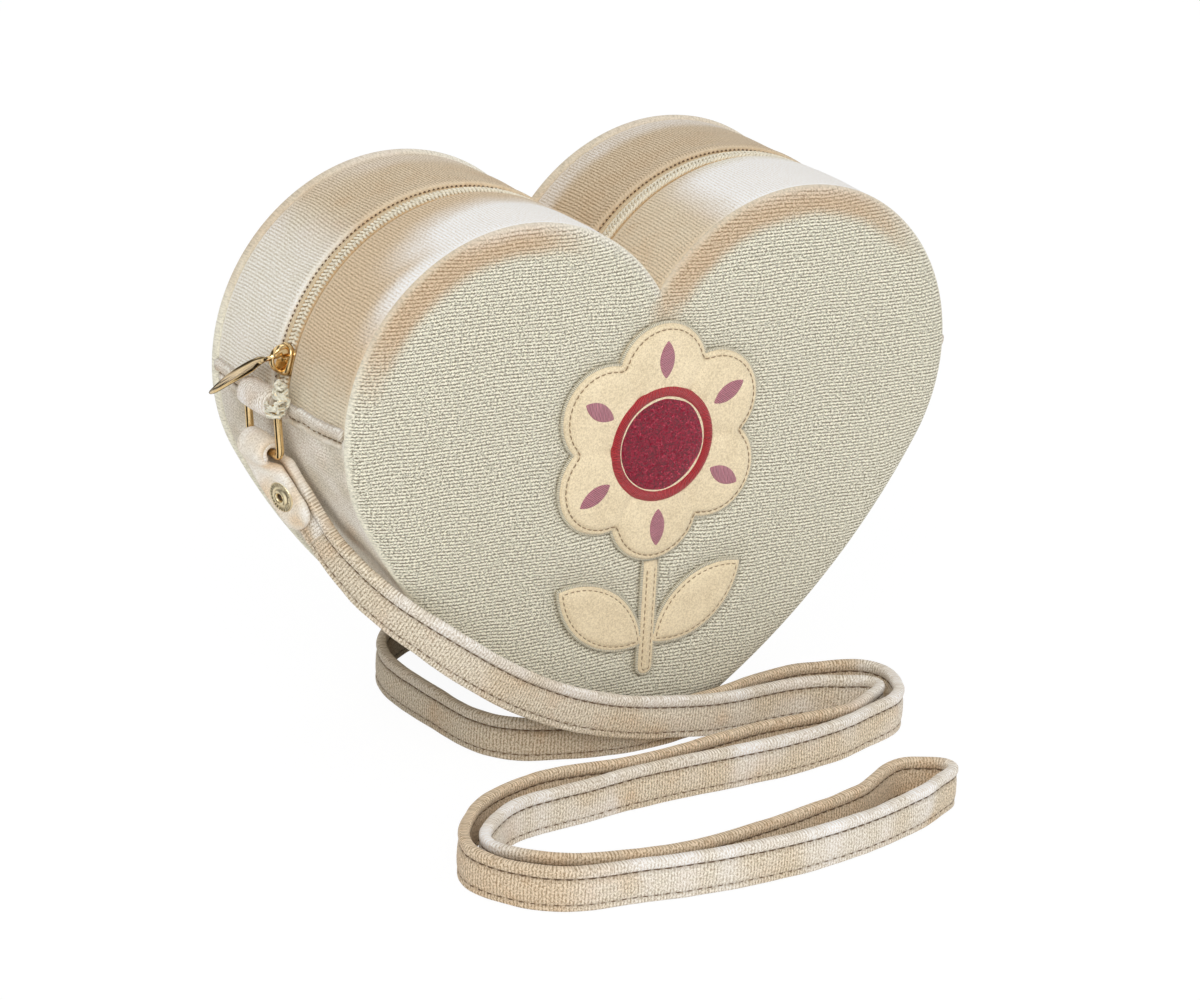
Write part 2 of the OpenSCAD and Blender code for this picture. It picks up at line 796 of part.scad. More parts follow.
front_panel();
back_panel();
front_padding();
back_padding();
front_lining();
back_lining();
top_gusset_front();
top_gusset_rear();
base_gusset();
top_padding_front();
top_padding_rear();
base_padding();
top_lining_front();
top_lining_rear();
base_lining();
front_binding();
rear_binding();
gusset_ridge_left();
gusset_ridge_right();
zip_tape_front();
zip_tape_rear();
zip_coil_front();
zip_coil_rear();
zip_end_tab_left();
zip_end_tab_right();
zip_stop_left();
zip_stop_right();
ring_tab_left();
ring_tab_right();
flower_padding();
flower();
petal_marks();
flower_middle();
flower_bead();
stem_and_leaves();
zip_slider();
slider_arch();
zip_pull();
ring_left();
knot_cord();
strap_end_left();
snap_stud_left();
snap_post_left();
strap_flap_left();
snap_socket_left();
snap_cap_left();
ring_right();
strap_end_right();
snap_stud_right();
snap_post_right();
strap_flap_right();
snap_socket_right();
snap_cap_right();
strap();
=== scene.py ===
"""A heart-shaped velvet shoulder bag with a curved zip, wire rings and a flat strap.

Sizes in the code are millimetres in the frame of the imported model: +Z up, the front faces -Y.
"""

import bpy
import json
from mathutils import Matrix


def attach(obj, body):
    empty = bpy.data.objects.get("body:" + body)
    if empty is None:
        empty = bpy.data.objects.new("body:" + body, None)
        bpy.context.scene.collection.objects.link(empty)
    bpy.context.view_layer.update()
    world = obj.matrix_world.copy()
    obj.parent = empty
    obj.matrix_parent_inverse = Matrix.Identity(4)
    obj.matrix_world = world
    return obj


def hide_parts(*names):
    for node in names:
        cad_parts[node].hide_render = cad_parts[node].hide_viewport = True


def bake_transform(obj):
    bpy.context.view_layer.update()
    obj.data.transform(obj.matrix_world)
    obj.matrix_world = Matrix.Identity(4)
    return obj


bl_info = {
    "name": "Heart Shoulder Bag",
    "version": (1, 0, 0),
    "blender": (4, 5, 0),
    "location": "3D View > Sidebar > Bag",
    "description": "Builds a padded heart-shaped shoulder bag round its packed frame",
    "category": "Add Mesh",
}

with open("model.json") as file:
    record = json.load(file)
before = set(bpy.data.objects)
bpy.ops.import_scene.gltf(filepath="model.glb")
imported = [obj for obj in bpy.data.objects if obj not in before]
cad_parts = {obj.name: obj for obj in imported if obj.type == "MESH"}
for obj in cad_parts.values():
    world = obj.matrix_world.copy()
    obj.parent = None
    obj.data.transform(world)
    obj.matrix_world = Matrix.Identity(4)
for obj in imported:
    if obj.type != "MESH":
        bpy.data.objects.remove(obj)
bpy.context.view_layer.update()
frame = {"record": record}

import json
import math

import bpy
from bpy.props import FloatProperty, FloatVectorProperty, PointerProperty
from mathutils import Matrix, Vector, kdtree, noise
from mathutils.geometry import delaunay_2d_cdt

MM = 0.001
TAU = 2 * math.pi

# The bag's outline, as the frame has it
BAG_W = 190
LOBE_R = 51.5
LOBE_X = BAG_W / 2 - LOBE_R
LOBE_Z = 99.5
TIP_R = 45
SIDE_ANGLE = math.radians(30)
SEAM_Y = 33.4
FACE_Y = 37.6
BACK_Y = 39.9
SLOT_Y = 4.2

# The hardware, as the frame has it
RING_X = 100
RING_TOP_Z = 100
RING_LOW_Z = 87.0
RING_LEG_Y = 7.9
WIRE_R = 1.1
END_TILT = math.radians(21)
END_LEAN = math.radians(36)
STRAP_W = 12
STRAP_T = 2.6
TOP_SEAM = 3.0
LOW_SEAM = 1.9
SEAM_ROWS = (STRAP_W / 2 - TOP_SEAM, LOW_SEAM - STRAP_W / 2)
LEAF_GAP = 0.15
END_TWIST = math.radians(16.4)
SNAP_S = 14
SLIDER_ANGLE = math.radians(167.6)
SLIDER_R = 51.1
SLIDER_T = 1.35
ARCH_R = 3.2
PULL_TURN = math.radians(102)
PULL_SLOPE = math.radians(30)
PULL_ROLL = math.radians(-32)

# The flower on the front, as the frame has it
FLOWER_Z = 86
PETAL_RING_R = 19.5
PETAL_R = 14
PETALS = 6
STEM_HALF = 2.5
STEM_LOW = FLOWER_Z * 0.22
LEAF_SPAN = 34
LEAF_WIDTH = 16
LEAF_X = 15.5
LEAF_Z = FLOWER_Z * 0.44
LEAF_TURN = math.radians(35)

# The photograph's view: place in metres, azimuth, elevation and roll, and lens in millimetres
VIEW_PLACE = Vector((-0.7002, -1.0503, 0.5274))
VIEW_TURN = [math.radians(angle) for angle in (-33.975, 20.441, 3.360)]
VIEW_LENS = 147.2


def body_of_node(node):
    """The body that a node of the frame belongs to."""
    for body, nodes in frame["record"]["behaviour"]["bodies"].items():
        if node in nodes:
            return body
    raise KeyError(node)


# Sizes and colours


def length(name, description, default):
    """A length in metres, given in millimetres."""
    return FloatProperty(name=name, description=description, default=default * MM, min=0.0, unit="LENGTH",
                         precision=5)


def colour(name, description, default):
    """A colour as it shows on the screen, from 0 to 255, kept as scene-linear values."""
    linear = [channel / 255 / 12.92 if channel <= 10 else ((channel / 255 + 0.055) / 1.055) ** 2.4
              for channel in default]
    return FloatVectorProperty(name=name, description=description, default=linear, size=3, min=0, max=1,
                               subtype="COLOR")


class BagSizes(bpy.types.PropertyGroup):
    """Sizes of the cloth, the thread and the zip."""
    rib_pitch: length("Rib pitch", "Distance between the ribs of the velvet on the panels", 0.935)
    gusset_rib_pitch: length("Gusset rib pitch", "Distance between the ribs of the gusset", 0.935)
    crown_width: length("Crown width", "Width of the rounded edge of each panel", 8.5)
    panel_puff: length("Panel puff", "How far the middle of a panel stands above its edge", 0.5)
    halo_depth: length("Halo depth", "How far the sewn flower pulls the velvet in", 1.3)
    stitch_pitch: length("Stitch pitch", "Distance between the starts of two stitches", 3.0)
    thread_radius: length("Thread radius", "Radius of the sewing thread", 0.16)
    coil_pitch: length("Coil pitch", "Distance between two turns of the zip's coil", 1.17)
    outline_step: length("Outline step", "Distance between points along the outline", 1.1)


class BagColours(bpy.types.PropertyGroup):
    """Colours of the bag's materials."""
    velvet: colour("Velvet", "The panels' velvet where it is brightest", (246, 241, 223))
    velvet_rib: colour("Velvet rib", "Between the rows of the panels' velvet", (128, 121, 101))
    # The turned nap colours are a shaded tan, painted shade, and the light nap colours a painted sheen
    # highlight; the velvet mixes them in by a mesh attribute.
    nap: colour("Turned nap", "Velvet whose nap turns away, where it is brightest", (229, 204, 174))
    nap_rib: colour("Turned nap rib", "Between the rows where the nap turns away", (158, 131, 100))
    nap_light: colour("Light nap", "Velvet whose nap turns to the light", (252, 248, 244))
    nap_light_rib: colour("Light nap rib", "Between the rows of the light nap", (214, 201, 188))
    gusset: colour("Gusset", "The gusset's velvet where it is brightest", (234, 224, 205))
    gusset_rib: colour("Gusset rib", "Between the ribs of the gusset", (170, 156, 132))
    base: colour("Base gusset", "The lower gusset's velvet where it is brightest", (216, 209, 192))
    base_rib: colour("Base gusset rib", "Between the ribs of the lower gusset", (170, 162, 144))
    strap: colour("Strap", "The strap's velvet where it is brightest", (228, 215, 194))
    strap_rib: colour("Strap rib", "Between the ribs of the strap", (150, 132, 106))
    suede: colour("Suede", "The flower's soft suede", (236, 220, 188))
    satin_red: colour("Red satin", "The satin bead", (196, 18, 34))
    satin_pink: colour("Pink satin", "The satin marks on the petals", (206, 132, 146))
    glitter: colour("Glitter", "The flower's glittering middle", (164, 26, 58))
    gold: colour("Gold", "The metal of the rings, snaps and zip", (236, 205, 150))
    snap_gold: colour("Snap gold", "The snaps' pale metal", (255, 240, 200))
    zip_cloth: colour("Zip tape", "The zip's tape", (246, 226, 190))
    coil: colour("Zip coil", "The zip's coil", (255, 246, 224))
    thread: colour("Thread", "The sewing thread", (172, 146, 114))
    coil_core: colour("Coil core", "Between the turns of the zip's coil", (232, 200, 156))
    # Dark thread is painted shade as well as thread: its stitches stand in for the shade along their seams,
    # and a disc of it for the shade in each snap's hole.
    dark_thread: colour("Dark thread", "The dark seams and the hole of each snap", (122, 96, 70))
    edge_thread: colour("Edge thread", "The pale thread round the flower", (236, 226, 200))
    cord: colour("Cord", "The knotted cord", (252, 247, 226))
    foam: colour("Foam", "The padding", (238, 235, 226))
    lining: colour("Lining", "The lining", (200, 180, 148))
    backdrop: colour("Backdrop", "The floor and the background", (255, 255, 255))


def sizes():
    """The sizes in millimetres."""
    group = bpy.context.scene.bag_sizes
    return {key: getattr(group, key) / MM for key in BagSizes.__annotations__}


def colours():
    """The colours as (red, green, blue, 1)."""
    group = bpy.context.scene.bag_colours
    return {key: (*getattr(group, key), 1.0) for key in BagColours.__annotations__}


# Materials


class Wire:
    """A socket of a node tree that takes part in sums."""

    def __init__(self, shading, socket):
        self.shading, self.socket = shading, socket

    def __add__(self, other):
        return self.shading.math("ADD", self, other)

    def __sub__(self, other):
        return self.shading.math("SUBTRACT", self, other)

    def __rsub__(self, other):
        return self.shading.math("SUBTRACT", other, self)

    def __mul__(self, other):
        return self.shading.math("MULTIPLY", self, other)

    __radd__, __rmul__ = __add__, __mul__


class Shading:
    """A node tree, to which expressions on its wires add their nodes."""

    def __init__(self, tree):
        self.tree = tree
        tree.nodes.clear()

    def put(self, socket, value):
        """Gives a socket a value or a link."""
        if isinstance(value, Wire):
            self.tree.links.new(value.socket, socket)
        else:
            socket.default_value = value

    def made(self, kind, settings=None, **values):
        """Adds a node with its settings first, and then the values or links of its sockets.

        A socket is named with _ for a space, or with i and its number.
        """
        node = self.tree.nodes.new(kind)
        for key, value in (settings or {}).items():
            if key == "stops":
                ramp = node.color_ramp
                while len(ramp.elements) < len(value):
                    ramp.elements.new(0.5)
                for element, (place, shade) in zip(ramp.elements, value):
                    element.position, element.color = place, shade
            else:
                setattr(node, key, value)
        for key, value in values.items():
            numbered = key[0] == "i" and key[1:].isdigit()
            self.put(node.inputs[int(key[1:]) if numbered else key.replace("_", " ")], value)
        return node

    def node(self, kind, settings=None, output=0, **values):
        """One output of a new node."""
        return Wire(self, self.made(kind, settings, **values).outputs[output])

    def math(self, operation, *values):
        """A Math node on numbers and wires."""
        return self.node("ShaderNodeMath", {"operation": operation},
                         **{f"i{index}": value for index, value in enumerate(values)})

    def mix(self, factor, first, second):
        """A mix of two colours."""
        return self.node("ShaderNodeMix", {"data_type": "RGBA"}, 2, i0=factor, i6=first, i7=second)

    def step(self, value, low, high):
        """A smooth step from 0 at low to 1 at high."""
        return self.node("ShaderNodeMapRange", {"interpolation_type": "SMOOTHSTEP"}, Value=value,
                         From_Min=low, From_Max=high, To_Min=0.0, To_Max=1.0)

    def attribute(self, name):
        """A mesh attribute: the weave's millimetres across and along the ribs, or the painted highlight,
        shaded tan and dark shade of the velvet.
        """
        return self.node("ShaderNodeAttribute", {"attribute_name": name}, "Vector")

    def parts(self, vector):
        """The three numbers of a vector."""
        first = self.node("ShaderNodeSeparateXYZ", Vector=vector)
        return [Wire(self, output) for output in first.socket.node.outputs]

    def vector(self, x, y, z):
        """A vector from three numbers."""
        return self.node("ShaderNodeCombineXYZ", X=x, Y=y, Z=z)

    def noise(self, vector, scale, detail=2.0, roughness=0.5):
        """Smooth noise about 0.5."""
        return self.node("ShaderNodeTexNoise", Vector=vector, Scale=scale, Detail=detail, Roughness=roughness)

    def ray(self, kind):
        """1 for rays of one kind."""
        return self.node("ShaderNodeLightPath", output=f"Is {kind} Ray")

    def place(self):
        """The place in the bag's frame, in millimetres."""
        at = self.node("ShaderNodeTexCoord", output="Object")
        return self.node("ShaderNodeVectorMath", {"operation": "SCALE"}, i0=at, Scale=1 / MM)


class Finish(Shading):
    """A material round one Principled shader."""

    def __init__(self, name, **shader):
        self.material = bpy.data.materials.new(name)
        self.material.use_nodes = True
        super().__init__(self.material.node_tree)
        self.shader = self.made("ShaderNodeBsdfPrincipled", **shader)
        self.shaded = Wire(self, self.shader.outputs["BSDF"])
        self.surface = self.made("ShaderNodeOutputMaterial", Surface=self.shaded).inputs["Surface"]

    def feed(self, **values):
        """Sets sockets of the shader, named with _ for a space."""
        for key, value in values.items():
            self.put(self.shader.inputs[key.replace("_", " ")], value)

    def bump(self, height, distance, strength=1.0):
        """Feeds a height from 0 to 1, of that many millimetres, to the shader's normal."""
        self.feed(Normal=self.node("ShaderNodeBump", Height=height, Distance=distance * MM,
                                   Strength=strength))


def toned(shade, share, lift=0.0):
    """A colour times a number, or times one number for each channel, kept within 1."""
    shares = share if isinstance(share, tuple) else (share,) * 3
    return tuple(min(1.0, channel * by + lift) for channel, by in zip(shade, shares)) + (1.0,)


def velvet(name, key, pitch, rib, grain, patches, gain):
    """Ribbed stretch velvet: bright rows with dark lines between, a fine sparkle and painted sheen and shade.

    key names its colour; rib, grain and patches are the strengths of its rows, its sparkle and its darker
    patches, which take the shaded tone at random; gain brightens this copy of the tones, as painted light.
    A mesh attribute paints a highlight, a shaded tan and a dark shade into the colour, with ragged borders.
    Where the third number of the weave nears 0 the rows fade and the velvet turns paler, painted light
    against the shade at the edges.
    """
    tone = colours()
    finish = Finish(name, Roughness=0.85, Sheen_Weight=0.12, Sheen_Roughness=0.45,
                    Sheen_Tint=(1.0, 0.96, 0.9, 1.0), Specular_IOR_Level=0.15)

    def pile(rib, crest, share=1.0):
        """A tone of the velvet from between the rows to their crests; the plain one, the shaded tan and the
        painted highlight each have one.
        """
        gains = tuple(by * share for by in gain)
        return finish.mix(level, toned(tone[rib], gains), toned(tone[crest], gains))

    across, along, inner = finish.parts(finish.attribute("weave"))
    # Painted sheen and shade from the mesh: highlight, shaded tan and dark shade
    light, turned, deep = finish.parts(finish.attribute("nap"))
    place = finish.place()
    sway = finish.noise(place, 0.05, 1.0) * 2.4
    loose = finish.noise(finish.vector(across * 0.8, along * 1.0, 3.0), 1.0, 2.0, 0.6)
    zigzag = finish.math("PINGPONG", along + loose * 0.8, 0.42) * 0.26
    wave = finish.math("SINE", (across + sway + zigzag + loose * 0.3) * (TAU / pitch))
    row = finish.step(wave, -1.0, 0.35) - 0.62
    speck = finish.noise(finish.vector(across * 2.2, along * 1.5, 0.0), 1.0, 2.0, 0.8)
    # Towards the edges the rows fade and the level rises: painted light against the shade there
    whole = finish.step(inner, 0.0, 1.6)
    level = 0.8 - whole * 0.26 + row * whole * (0.3 + finish.step(loose, 0.36, 0.62)) * rib
    level = level + (speck - 0.5) * (whole * 0.6 + 0.4) * (2.7 * grain)
    drift = finish.noise(place, 0.1, 3.0, 0.6)
    ragged = (drift - 0.5) * 3.0 + (speck - 0.5) * 2.5
    # Ragged borders for the shaded tan and the highlight, and darker patches of the shaded tan at random
    turned = turned + turned * (1.0 - turned) * ragged + finish.step(drift, 0.5, 0.68) * patches
    light = light + light * (1.0 - light) * ragged
    # Mixes in the shaded tan, the painted highlight and the dark painted shade
    shade = finish.mix(turned, pile(f"{key}_rib", key), pile("nap_rib", "nap", 0.92))
    shade = finish.mix(light, shade, pile("nap_light_rib", "nap_light"))
    shade = finish.mix(deep, shade, toned(tone["nap_rib"], 0.42))
    finish.feed(Base_Color=shade, Roughness=0.78 + drift * 0.16)
    finish.bump(level, 0.1, 0.5)
    return finish.material


def satin(name, base, pitch):
    """Close satin stitches that run across the piece."""
    finish = Finish(name, Roughness=0.38, Sheen_Weight=0.2, Specular_IOR_Level=0.5)
    along, across, _ = finish.parts(finish.attribute("weave"))
    ragged = finish.noise(finish.vector(along * 1.2, across * 0.35, 0.0), 1.0, 2.0)
    thread = finish.math("SINE", (along + ragged * 0.5) * (TAU / pitch)) * 0.5 + 0.5
    pale = finish.mix(ragged, base, toned(base, 1.2, 0.02))
    finish.feed(Base_Color=finish.mix(thread, toned(base, 0.45), pale), Roughness=0.3 + ragged * 0.25)
    finish.bump(thread, 0.25, 0.8)
    return finish.material


def metal(name, base, rough=0.1):
    """Polished pale gold with faint smears and fine scratches."""
    finish = Finish(name, Metallic=1.0, Specular_IOR_Level=0.5)
    place = finish.place()
    smear = finish.noise(place, 0.35, 3.0, 0.6)
    x, y, z = finish.parts(place)
    scratch = finish.noise(finish.vector(x * 0.6, y * 7.0, z * 1.2), 1.0, 2.0)
    deep = toned(base, (0.8, 0.66, 0.5))
    finish.feed(Base_Color=finish.mix(finish.step(smear, 0.45, 0.7) * 0.5, base, deep),
                Roughness=rough + smear * 0.08 + scratch * 0.04)
    finish.bump(scratch, 0.02, 0.3)
    return finish.material


def plain_cloth(name, base, pitch, rough=0.9, contrast=0.3):
    """A plain weave of crossing threads."""
    finish = Finish(name, Roughness=rough, Sheen_Weight=0.15, Specular_IOR_Level=0.2)
    across, along, _ = finish.parts(finish.attribute("weave"))
    warp = finish.math("SINE", across * (TAU / pitch)) * 0.5 + 0.5
    weft = finish.math("SINE", along * (TAU / pitch)) * 0.5 + 0.5
    check = warp * (1.0 - weft) + weft * (1.0 - warp)
    grain = finish.noise(finish.place(), 1.2, 3.0, 0.6)
    finish.feed(Base_Color=finish.mix(check * 0.6 + grain * 0.5, toned(base, 1 - contrast), base),
                Roughness=rough - grain * 0.1)
    finish.bump(check, 0.12, 0.6)
    return finish.material


def suede(name, base):
    """Soft brushed suede with a fine grain and slow patches."""
    finish = Finish(name, Roughness=0.9, Sheen_Weight=0.3, Sheen_Roughness=0.5, Specular_IOR_Level=0.15)
    place = finish.place()
    grain = finish.noise(place, 2.2, 4.0, 0.7)
    patch = finish.noise(place, 0.12, 2.0)
    dark, pale = toned(base, (0.66, 0.6, 0.52)), toned(base, 1.12)
    finish.feed(Base_Color=finish.mix((grain - 0.5) * 2.4 + 0.42 + patch * 0.5, dark, pale),
                Roughness=0.8 + patch * 0.15)
    finish.bump(grain, 0.12, 0.5)
    return finish.material


def glitter(name, base):
    """Dark glitter: small flakes that tilt and shine one by one; the palest are partly pale flakes, partly a
    painted glint.
    """
    finish = Finish(name, Roughness=0.35, Specular_IOR_Level=0.8, Coat_Weight=0.3, Coat_Roughness=0.2)
    place = finish.place()
    flake = finish.node("ShaderNodeTexVoronoi", {"feature": "F1"}, "Color", Vector=place, Scale=2.6)
    lightness = finish.parts(flake)[0]
    pale = (min(1.0, base[0] * 2.2 + 0.1), base[1] * 1.5 + 0.1, base[2] * 1.6 + 0.12, 1.0)
    shade = finish.mix(finish.step(lightness, 0.1, 0.75), toned(base, 0.4), base)
    # The palest flakes: pale flake colour and a painted glint
    finish.feed(Base_Color=finish.mix(finish.step(lightness, 0.86, 0.95), shade, pale),
                Metallic=finish.step(lightness, 0.55, 0.9) * 0.6, Roughness=0.5 - lightness * 0.25)
    finish.bump(lightness, 0.2, 0.7)
    return finish.material


def foam(name, base):
    """Fine-celled white foam."""
    finish = Finish(name, Roughness=0.95, Specular_IOR_Level=0.1)
    place = finish.place()
    cells = finish.node("ShaderNodeTexVoronoi", {"feature": "F1"}, Vector=place, Scale=1.6)
    finish.feed(Base_Color=finish.mix(cells, base, toned(base, 0.8)), Roughness=0.85 + cells * 0.1)
    finish.bump(cells, 0.2, 0.5)
    return finish.material


def twisted(name, base, gold):
    """A twisted cord with a gold thread in it."""
    finish = Finish(name, Roughness=0.6, Sheen_Weight=0.2)
    along, around, _ = finish.parts(finish.attribute("weave"))
    ply = finish.math("SINE", along * 2.6 + around) * 0.5 + 0.5
    strand = finish.noise(finish.vector(along * 1.4, around * 2.0, 0.0), 1.0, 2.0)
    glint = finish.step(finish.math("SINE", along * 1.3 + around), 0.93, 0.98)
    cream = finish.mix(ply * 0.8 + strand * 0.4, toned(base, 0.7), base)
    finish.feed(Base_Color=finish.mix(glint * 0.8, cream, gold), Metallic=glint * 0.8,
                Roughness=0.65 - glint * 0.3)
    finish.bump(ply, 0.3, 0.8)
    return finish.material


FINISHES = {}


def finish_named(name):
    """One of the bag's materials, made on first use."""
    if name not in FINISHES:
        tone, size = colours(), sizes()
        rib, gusset_rib = size["rib_pitch"], size["gusset_rib_pitch"]
        maker, *values = {
            # The last numbers brighten each velvet's copy of the tones: painted light, most on the gussets
            # and the strap
            "panel_velvet": (velvet, "velvet", rib, 0.85, 1.5, 0.0, (1.02, 1.02, 1.01)),
            "gusset_velvet": (velvet, "gusset", gusset_rib, 0.85, 1.1, 0.15, (1.14, 1.17, 1.15)),
            "base_velvet": (velvet, "base", gusset_rib, 0.35, 1.5, 0.3, (1.08, 1.07, 1.05)),
            "strap_velvet": (velvet, "strap", gusset_rib, 0.6, 1.6, 0.4, (1.22, 1.25, 1.27)),
            "suede": (suede, tone["suede"]),
            "satin_red": (satin, tone["satin_red"], 0.45),
            "satin_pink": (satin, tone["satin_pink"], 0.5),
            "edge_thread": (satin, tone["edge_thread"], 0.5),
            "glitter": (glitter, tone["glitter"]),
            "gold": (metal, tone["gold"]),
            "snap_gold": (metal, tone["snap_gold"], 0.24),
            "zip_cloth": (plain_cloth, tone["zip_cloth"], 0.5),
            "coil": (plain_cloth, tone["coil"], 0.6, 0.45, 0.05),
            "coil_core": (plain_cloth, tone["coil_core"], 0.6, 0.7),
            "thread": (plain_cloth, tone["thread"], 0.4, 0.6, 0.5),
            "dark_thread": (plain_cloth, tone["dark_thread"], 0.4, 0.7, 0.5),
            "lining": (plain_cloth, tone["lining"], 0.6),
            "binding": (plain_cloth, tone["gusset"], 0.8),
            "foam": (foam, tone["foam"]),
            "cord": (twisted, tone["cord"], tone["gold"]),
        }[name]
        FINISHES[name] = maker(name, *values)
    return FINISHES[name]


# Meshes


def add_object(name, data):
    """A new object in the scene."""
    added = bpy.data.objects.new(name, data)
    bpy.context.scene.collection.objects.link(added)
    return added


def make_piece(name, form, finish, body=None, nodes=(), bend=None):
    """A mesh piece from a form, with its material, body and the nodes that it stands for.

    A form holds points in millimetres, faces, a weave and its painted sheen and shade. Without a weave its
    points are the weave.
    With bend the piece is joined to no body; the two bodies and the two places that bend holds are not used.
    """
    points, faces, weave, nap = (*form, None, None)[:4]
    mesh = bpy.data.meshes.new(name)
    mesh.from_pydata([(x * MM, y * MM, z * MM) for x, y, z in points], [], faces)
    mesh.validate()
    mesh.shade_smooth()
    for key, values in (("weave", points if weave is None else weave), ("nap", nap)):
        if values is not None:
            layer = mesh.attributes.new(key, "FLOAT_VECTOR", "POINT")
            layer.data.foreach_set("vector", [number for value in values for number in value])
    mesh.materials.append(finish_named(finish))
    piece = add_object(name, mesh)
    if nodes:
        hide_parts(*nodes)
    if bend:
        start, end = [[number * MM for number in place] for place in bend[2:]]
        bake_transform(piece)
    elif body or nodes:
        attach(piece, body or body_of_node(nodes[0]))
    return piece


def half_turn(points):
    """Points turned half round about the bag's upright axis."""
    return [(-x, -y, z) for x, y, z in points]


def place_pair(name, form, finish, node, bend=None):
    """The left piece and its copy turned half round for the right."""
    for label, placed in (("left", list), ("right", half_turn)):
        bent = bend and [body.format(label) for body in bend[:2]] + placed(bend[2:])
        make_piece(f"{name}_{label}", (placed(form[0]), *form[1:]), finish, nodes=(f"{node}_{label}",),
                   bend=bent)


def loft(rings, closed=False):
    """Faces over rings of equal numbers of points, each ring closed on itself. Open ends get a cap."""
    count, total = len(rings[0]), len(rings)
    faces = []
    for row in range(total if closed else total - 1):
        below, above = row * count, (row + 1) % total * count
        for column in range(count):
            after = (column + 1) % count
            faces.append((below + column, below + after, above + after, above + column))
    if not closed:
        faces.append(tuple(range(count - 1, -1, -1)))
        faces.append(tuple(range((total - 1) * count, total * count)))
    return faces


def lofted(rings, weave=None, closed=False):
    """The form of a body through rings of points. Bare metal has an empty weave."""
    points = [point for ring in rings for point in ring]
    return points, loft(rings, closed), weave or [(0.0, 0.0, 0.0)] * len(points)


def around(count):
    """The angles of even steps round a circle."""
    return [TAU * step / count for step in range(count)]


def join_parts(parts):
    """One form from several, without their painted sheen and shade."""
    points, faces, weave = [], [], []
    for part_points, part_faces, part_weave, *_ in parts:
        start = len(points)
        points += part_points
        faces += [tuple(start + index for index in face) for face in part_faces]
        weave += part_weave
    return points, faces, weave


def between(value, low, high, soft):
    """1 from low to high, falling smoothly to 0 over soft on both sides."""
    result = 1.0
    for share in ((value - low) / soft + 1, (high - value) / soft + 1):
        share = min(1.0, max(0.0, share))
        result *= share * share * (3 - 2 * share)
    return result


def wobble(x, y, z, scale, seed=0.0):
    """A smooth random number from -1 to 1."""
    return noise.noise(Vector((x / scale + seed, y / scale + seed * 0.7, z / scale - seed)))


def tube(path, radius, sides, closed=False):
    """The form of a round tube along a path; radius is a number or one for each point."""
    count = len(path)
    path = [Vector(point) for point in path]
    radii = radius if isinstance(radius, list) else [radius] * count
    tangents = []
    for index in range(count):
        before = path[index - 1] if index or closed else path[0]
        after = path[(index + 1) % count] if index + 1 < count or closed else path[-1]
        tangents.append((after - before).normalized())
    side = tangents[0].orthogonal().normalized()
    rings, weave, run = [], [], 0.0
    for index in range(count):
        if index:
            side = side - tangents[index] * side.dot(tangents[index])
            side.normalize()
            run += (path[index] - path[index - 1]).length
        other = tangents[index].cross(side)
        rings.append([tuple(path[index] + (side * math.cos(angle) + other * math.sin(angle)) * radii[index])
                      for angle in around(sides)])
        weave += [(run, angle, 0.0) for angle in around(sides)]
    return lofted(rings, weave, closed)


def smooth_path(points, step):
    """A rounded path through points, with a point about every step millimetres."""
    points = [Vector(point) for point in points]
    last = len(points) - 1
    result = []
    for index in range(last):
        before, start, end, after = (points[max(0, min(last, index + offset))] for offset in (-1, 0, 1, 2))
        pieces = max(1, round((end - start).length / step))
        for piece in range(pieces):
            t = piece / pieces
            result.append(0.5 * ((2 * start) + (end - before) * t
                                 + (2 * before - 5 * start + 4 * end - after) * t * t
                                 + (3 * start - before - 3 * end + after) * t ** 3))
    return result + [points[-1]]


# The heart outline


TIP_TO_LOBE = (LOBE_X, LOBE_Z - TIP_R)
SIDE_DIR = (math.cos(SIDE_ANGLE), -math.sin(SIDE_ANGLE))
SIDE_REACH = (TIP_TO_LOBE[0] ** 2 + TIP_TO_LOBE[1] ** 2 - (LOBE_R - TIP_R) ** 2) / (
    2 * (TIP_TO_LOBE[0] * SIDE_DIR[0] + TIP_TO_LOBE[1] * SIDE_DIR[1] + LOBE_R - TIP_R))
SIDE_R = SIDE_REACH + LOBE_R
SIDE_C = (LOBE_X - SIDE_REACH * SIDE_DIR[0], LOBE_Z - SIDE_REACH * SIDE_DIR[1])
TIP_ANGLE = math.atan2(SIDE_C[1] - TIP_R, -SIDE_C[0])


def spread(first, last, radius, step):
    """Angles from first to last, about step millimetres apart on a circle."""
    count = max(2, round(abs(last - first) * radius / step))
    return [first + (last - first) * index / count for index in range(count + 1)]


def outline_stations(step):
    """Stations round the heart, each ((centre x, z), radius, angle, share of the lobe or None, mirror, run).

    They start at the cleft and go down the right side; run is the length along the outline. Only the stations
    beside the zip have a share, from 0 at the cleft to 1 at the ridge.
    """
    arcs = [((LOBE_X, LOBE_Z), LOBE_R, spread(math.acos(-LOBE_X / LOBE_R), 0.0, LOBE_R, step), True),
            ((LOBE_X, LOBE_Z), LOBE_R, spread(0.0, -SIDE_ANGLE, LOBE_R, step), False),
            (SIDE_C, SIDE_R, spread(-SIDE_ANGLE, -TIP_ANGLE, SIDE_R, step), False),
            ((0.0, TIP_R), TIP_R, spread(-TIP_ANGLE, -math.pi / 2, TIP_R, step), False)]
    half, run = [], 0.0
    for number, (centre, radius, angles, lobe) in enumerate(arcs):
        for index, angle in enumerate(angles):
            if index:
                run += abs(angles[index] - angles[index - 1]) * radius
            elif number:
                continue
            share = index / (len(angles) - 1) if lobe else None
            half.append((centre, radius, angle, share, 1, run))
    total = run
    left = [(centre, radius, angle, share, -1, 2 * total - run)
            for centre, radius, angle, share, _, run in reversed(half[:-1])]
    return half + left


